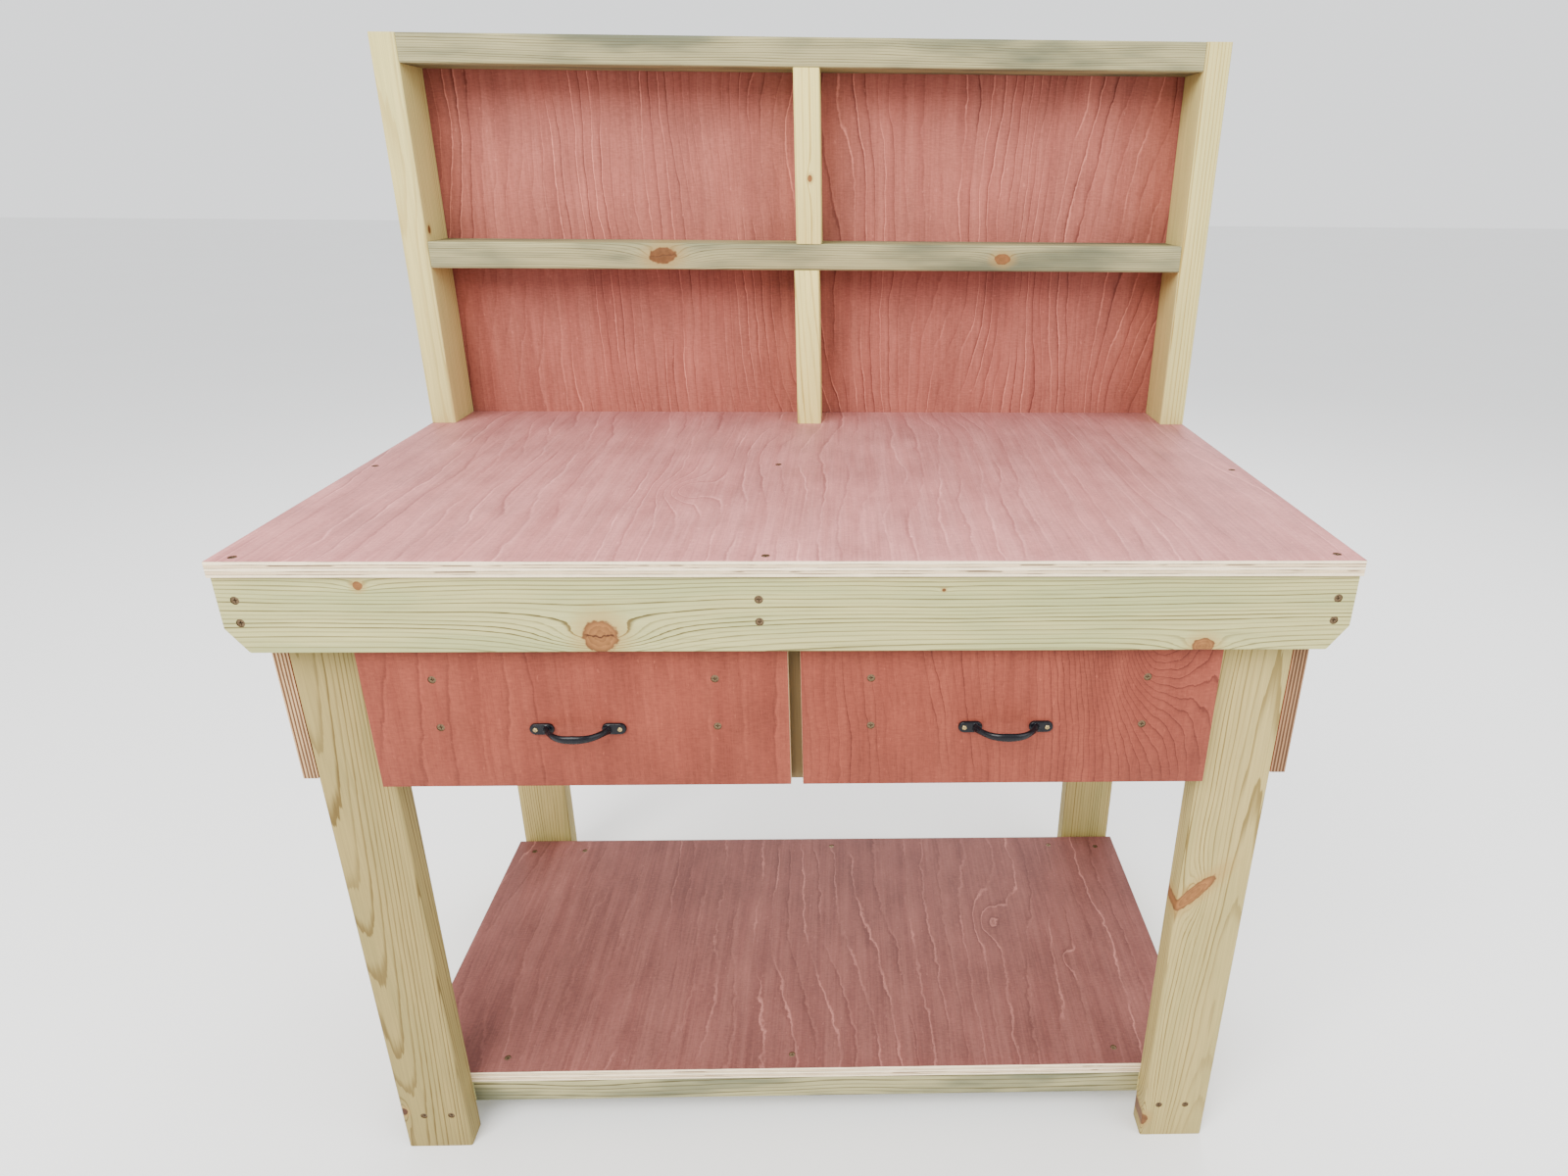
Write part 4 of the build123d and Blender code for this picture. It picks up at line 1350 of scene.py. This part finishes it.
@dataclass
class Drawer:
    """One drawer: its front, box, handle, screws and runners."""

    name: str
    front: PlyFinish
    seed: float
    screw_seat: float = 0.3 * MM
    wall_rounding: float = 0.5 * MM
    bottom_rounding: float = 0.4 * MM

    def build(
        self, shop: Workshop, handle: bpy.types.Object, screw: bpy.types.Object, metals: "Metals"
    ) -> None:
        """Models and mounts every piece of the drawer.

        Args:
            shop: Groups, holes and bodies.
            handle: The finished casting, lying on Z = 0.
            screw: The handle screw's template.
            metals: The metal finishes.
        """
        PlySheet(f"{self.name}_front", Z, X, self.front).build(shop)
        walls = (
            ("front_wall", X, Z),
            ("back_wall", X, Z),
            ("left_wall", Y, Z),
            ("right_wall", Y, Z),
        )
        for step, (part, grain, across) in enumerate(walls):
            finish = PlyFinish(self.seed + step, PlyTone.BIRCH, 12.0, 7.0, 26.0, 120.0, 6.0, 0.2, 0.25)
            PlySheet(f"{self.name}_{part}", grain, across, finish, self.wall_rounding).build(shop)
        bottom = PlyFinish(self.seed + 5, PlyTone.BIRCH, 6.0, 5.0, 30.0, 150.0, 6.0, 0.2, 0.25)
        PlySheet(f"{self.name}_bottom", Y, X, bottom, self.bottom_rounding).build(shop)
        self.hang_handle(shop, handle, metals)
        self.drive_handle_screws(shop, screw, metals)
        shop.refinish(f"{self.name}_front_screws", metals.sunk)
        shop.refinish(f"{self.name}_runner_screws", metals.steel)
        for hand in ("left", "right"):
            for member in ("fixed", "moving"):
                shop.refinish(f"{self.name}_{hand}_runner_{member}", metals.steel)

    def hang_handle(self, shop: Workshop, handle: bpy.types.Object, metals: "Metals") -> None:
        """Puts a copy of the casting on the drawer's face."""
        node = f"{self.name}_handle"
        low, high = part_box(node)
        onto = Vector(((low.x + high.x) / 2, high.y, (low.z + high.z) / 2))
        place = Matrix.Translation(onto) @ Matrix.Rotation(math.radians(90), 4, "X")
        piece = copies(handle, [place], node)
        dress(piece, metals.iron)
        shop.stand_for(piece, node)

    def drive_handle_screws(self, shop: Workshop, screw: bpy.types.Object, metals: "Metals") -> None:
        """Puts the domed screws in the handle's lugs."""
        node = f"{self.name}_handle_screws"
        places = screw_places(node)
        lug_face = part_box(f"{self.name}_handle")[1].y - CastHandle.lug_height
        spots = []
        for step, place in enumerate(places):
            at = Vector((place.head.x, lug_face + self.screw_seat, place.head.z))
            spots.append(ScrewPlace(at, Vector((0, -1, 0))).matrix(0.0, 0.5 + 1.3 * step + self.seed))
        piece = copies(screw, spots, node)
        dress(piece, metals.brass)
        shop.stand_for(piece, node)


@dataclass
class Metals:
    """The metal finishes, made once."""

    groups: Groups

    def __post_init__(self) -> None:
        """Makes the materials."""
        iron = MetalFinish((0.003, 0.003, 0.005), (0.007, 0.007, 0.009), 0.0, 0.24, 0.36, 0.9, 8.0, 0.06, 0.2)
        brass = MetalFinish((0.44, 0.33, 0.15), (0.14, 0.095, 0.045), 1.0, 0.28, 0.5, 0.5, 2.0, 0.1)
        # Yellow plating darkened with painted shade, for heads sitting in their sunk holes.
        sunk = MetalFinish((0.15, 0.098, 0.052), (0.015, 0.010, 0.007), 0.8, 0.42, 0.75, 0.5, 1.6, 0.1)
        # Crushed wood and painted shade: a dark lining that stands for the shade inside each screw hole.
        hole = MetalFinish((0.070, 0.038, 0.016), (0.16, 0.10, 0.045), 0.0, 0.8, 0.9, 0.5, 1.5, 0.4, 0.1)
        steel = MetalFinish((0.62, 0.63, 0.65), (0.38, 0.39, 0.40), 1.0, 0.28, 0.5, 1.2, 14.0, 0.08)
        self.iron = iron.material("black_painted_iron", self.groups)
        self.brass = brass.material("bright_brass", self.groups)
        self.sunk = sunk.material("sunk_plating_and_painted_shade", self.groups)
        self.hole = hole.material("crushed_wood_and_hole_shade", self.groups)
        self.steel = steel.material("zinc_plated_steel", self.groups)


@dataclass
class Studio:
    """A plain pale floor, soft lights and the camera."""

    eye: Vector = field(default_factory=lambda: Vector((0.0541, -1.0060, 1.2755)))
    yaw: float = 0.0286
    pitch: float = 0.4172
    roll: float = 0.0087
    lens: float = 23.405
    shift: tuple[float, float] = (-0.0559, 0.0248)
    floor_size: float = 60.0
    floor_roughness: float = 0.8
    air_tint: Colour = (0.97, 0.985, 1.0)
    air_strength: float = 1.55
    panel_size: float = 2.6
    aim: tuple[float, float, float] = (0.0, 0.0, 0.75)

    def build(self) -> None:
        """Makes the floor, lights, world and camera."""
        self.lay_floor()
        self.hang_lights()
        self.place_camera()

    def lay_floor(self) -> None:
        """A wide pale floor with a faint mottle."""
        clear_selection()
        bpy.ops.mesh.primitive_plane_add(size=self.floor_size, location=(0, 0, 0))
        floor = bpy.context.object
        floor.name = "studio_floor"
        material, graph, shader = new_material("pale_floor")
        coordinates = graph.add("ShaderNodeTexCoord")
        mottle = graph.noise(coordinates.outputs["Object"], detail=3.0)
        graph.feed(shader.inputs["Base Color"], graph.mix(mottle, (0.83, 0.83, 0.825), (0.86, 0.86, 0.855)))
        shader.inputs["Roughness"].default_value = self.floor_roughness
        dress(floor, material)

    def hang_lights(self) -> None:
        """Large soft panels above the bench and an even pale surround."""
        world = bpy.data.worlds.new("studio_air")
        bpy.context.scene.world = world
        world.use_nodes = True
        air = world.node_tree.nodes["Background"]
        air.inputs["Color"].default_value = (*self.air_tint, 1.0)
        air.inputs["Strength"].default_value = self.air_strength
        panels = (
            ("key_panel", (-1.7, -3.0, 3.5), 330.0, (1.0, 0.985, 0.955)),
            ("fill_panel", (2.8, -2.0, 2.4), 90.0, (0.96, 0.98, 1.0)),
            ("rear_panel", (0.4, 2.8, 3.4), 150.0, (1.0, 1.0, 1.0)),
        )
        for name, place, power, tint in panels:
            light = bpy.data.lights.new(name, "AREA")
            light.size = self.panel_size
            light.energy = power
            light.color = tint
            lamp = bpy.data.objects.new(name, light)
            lamp.location = place
            lamp.rotation_euler = (Vector(self.aim) - Vector(place)).to_track_quat("-Z", "Y").to_euler()
            bpy.context.scene.collection.objects.link(lamp)

    def place_camera(self) -> None:
        """The camera, a little above head height in front of the bench, looking down at it."""
        forward = Vector(
            (
                math.sin(self.yaw) * math.cos(self.pitch),
                math.cos(self.yaw) * math.cos(self.pitch),
                -math.sin(self.pitch),
            )
        )
        level = forward.cross(Vector((0, 0, 1))).normalized()
        upright = level.cross(forward)
        right = math.cos(self.roll) * level + math.sin(self.roll) * upright
        up = -math.sin(self.roll) * level + math.cos(self.roll) * upright
        top_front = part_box("worktop")[0].y
        camera = bpy.data.cameras.new("bench_camera")
        camera.lens = self.lens
        camera.shift_x, camera.shift_y = self.shift
        holder = bpy.data.objects.new("bench_camera", camera)
        holder.matrix_world = Matrix.Translation(self.eye + Vector((0, top_front, 0))) @ Matrix(
            (right, up, -forward)
        ).transposed().to_4x4()
        bpy.context.scene.collection.objects.link(holder)
        bpy.context.scene.camera = holder


def build_boards(shop: Workshop, boards: Sequence[Plank | PlySheet]) -> None:
    """Builds a list of boards one after another."""
    for board in boards:
        board.build(shop)


def main() -> None:
    """Builds the bench's looks, piece by piece, and the studio."""
    logging.basicConfig(level=logging.INFO, format="%(name)s: %(message)s")
    Studio().build()
    sunk_nodes = (*BENCH_SCREWS, "left_drawer_front_screws", "right_drawer_front_screws")
    groups = Groups()
    metals = Metals(groups)
    shop = Workshop(groups, ScrewHoles(sunk_nodes, metals.hole))
    for assembly in (TopFrame(), ShelfFrame(), BackFrame()):
        build_boards(shop, assembly.planks())
    build_boards(shop, Panels().sheets())
    casting = CastHandle().casting()
    screw = DomedScrew().template()
    left_front = PlyFinish(
        6.3, PlyTone.FRONT, spacing=38, wobble=16, pale_lines=0.12, dark_lines=0.3, streaks=0.4
    )
    right_front = PlyFinish(
        7.8, PlyTone.FRONT, spacing=10, swing=150, pale_lines=0.1, dark_lines=0.55, whorls=((112, 158, 80),)
    )
    drawers = (Drawer("left_drawer", left_front, 30.0), Drawer("right_drawer", right_front, 40.0))
    for drawer in drawers:
        drawer.build(shop, casting, screw, metals)
    for template in (casting, screw):
        bpy.data.objects.remove(template)
    for node in BENCH_SCREWS:
        shop.refinish(node, metals.sunk)
    shop.refinish("fixed_runner_screws", metals.steel)


if __name__ == "__main__":
    main()
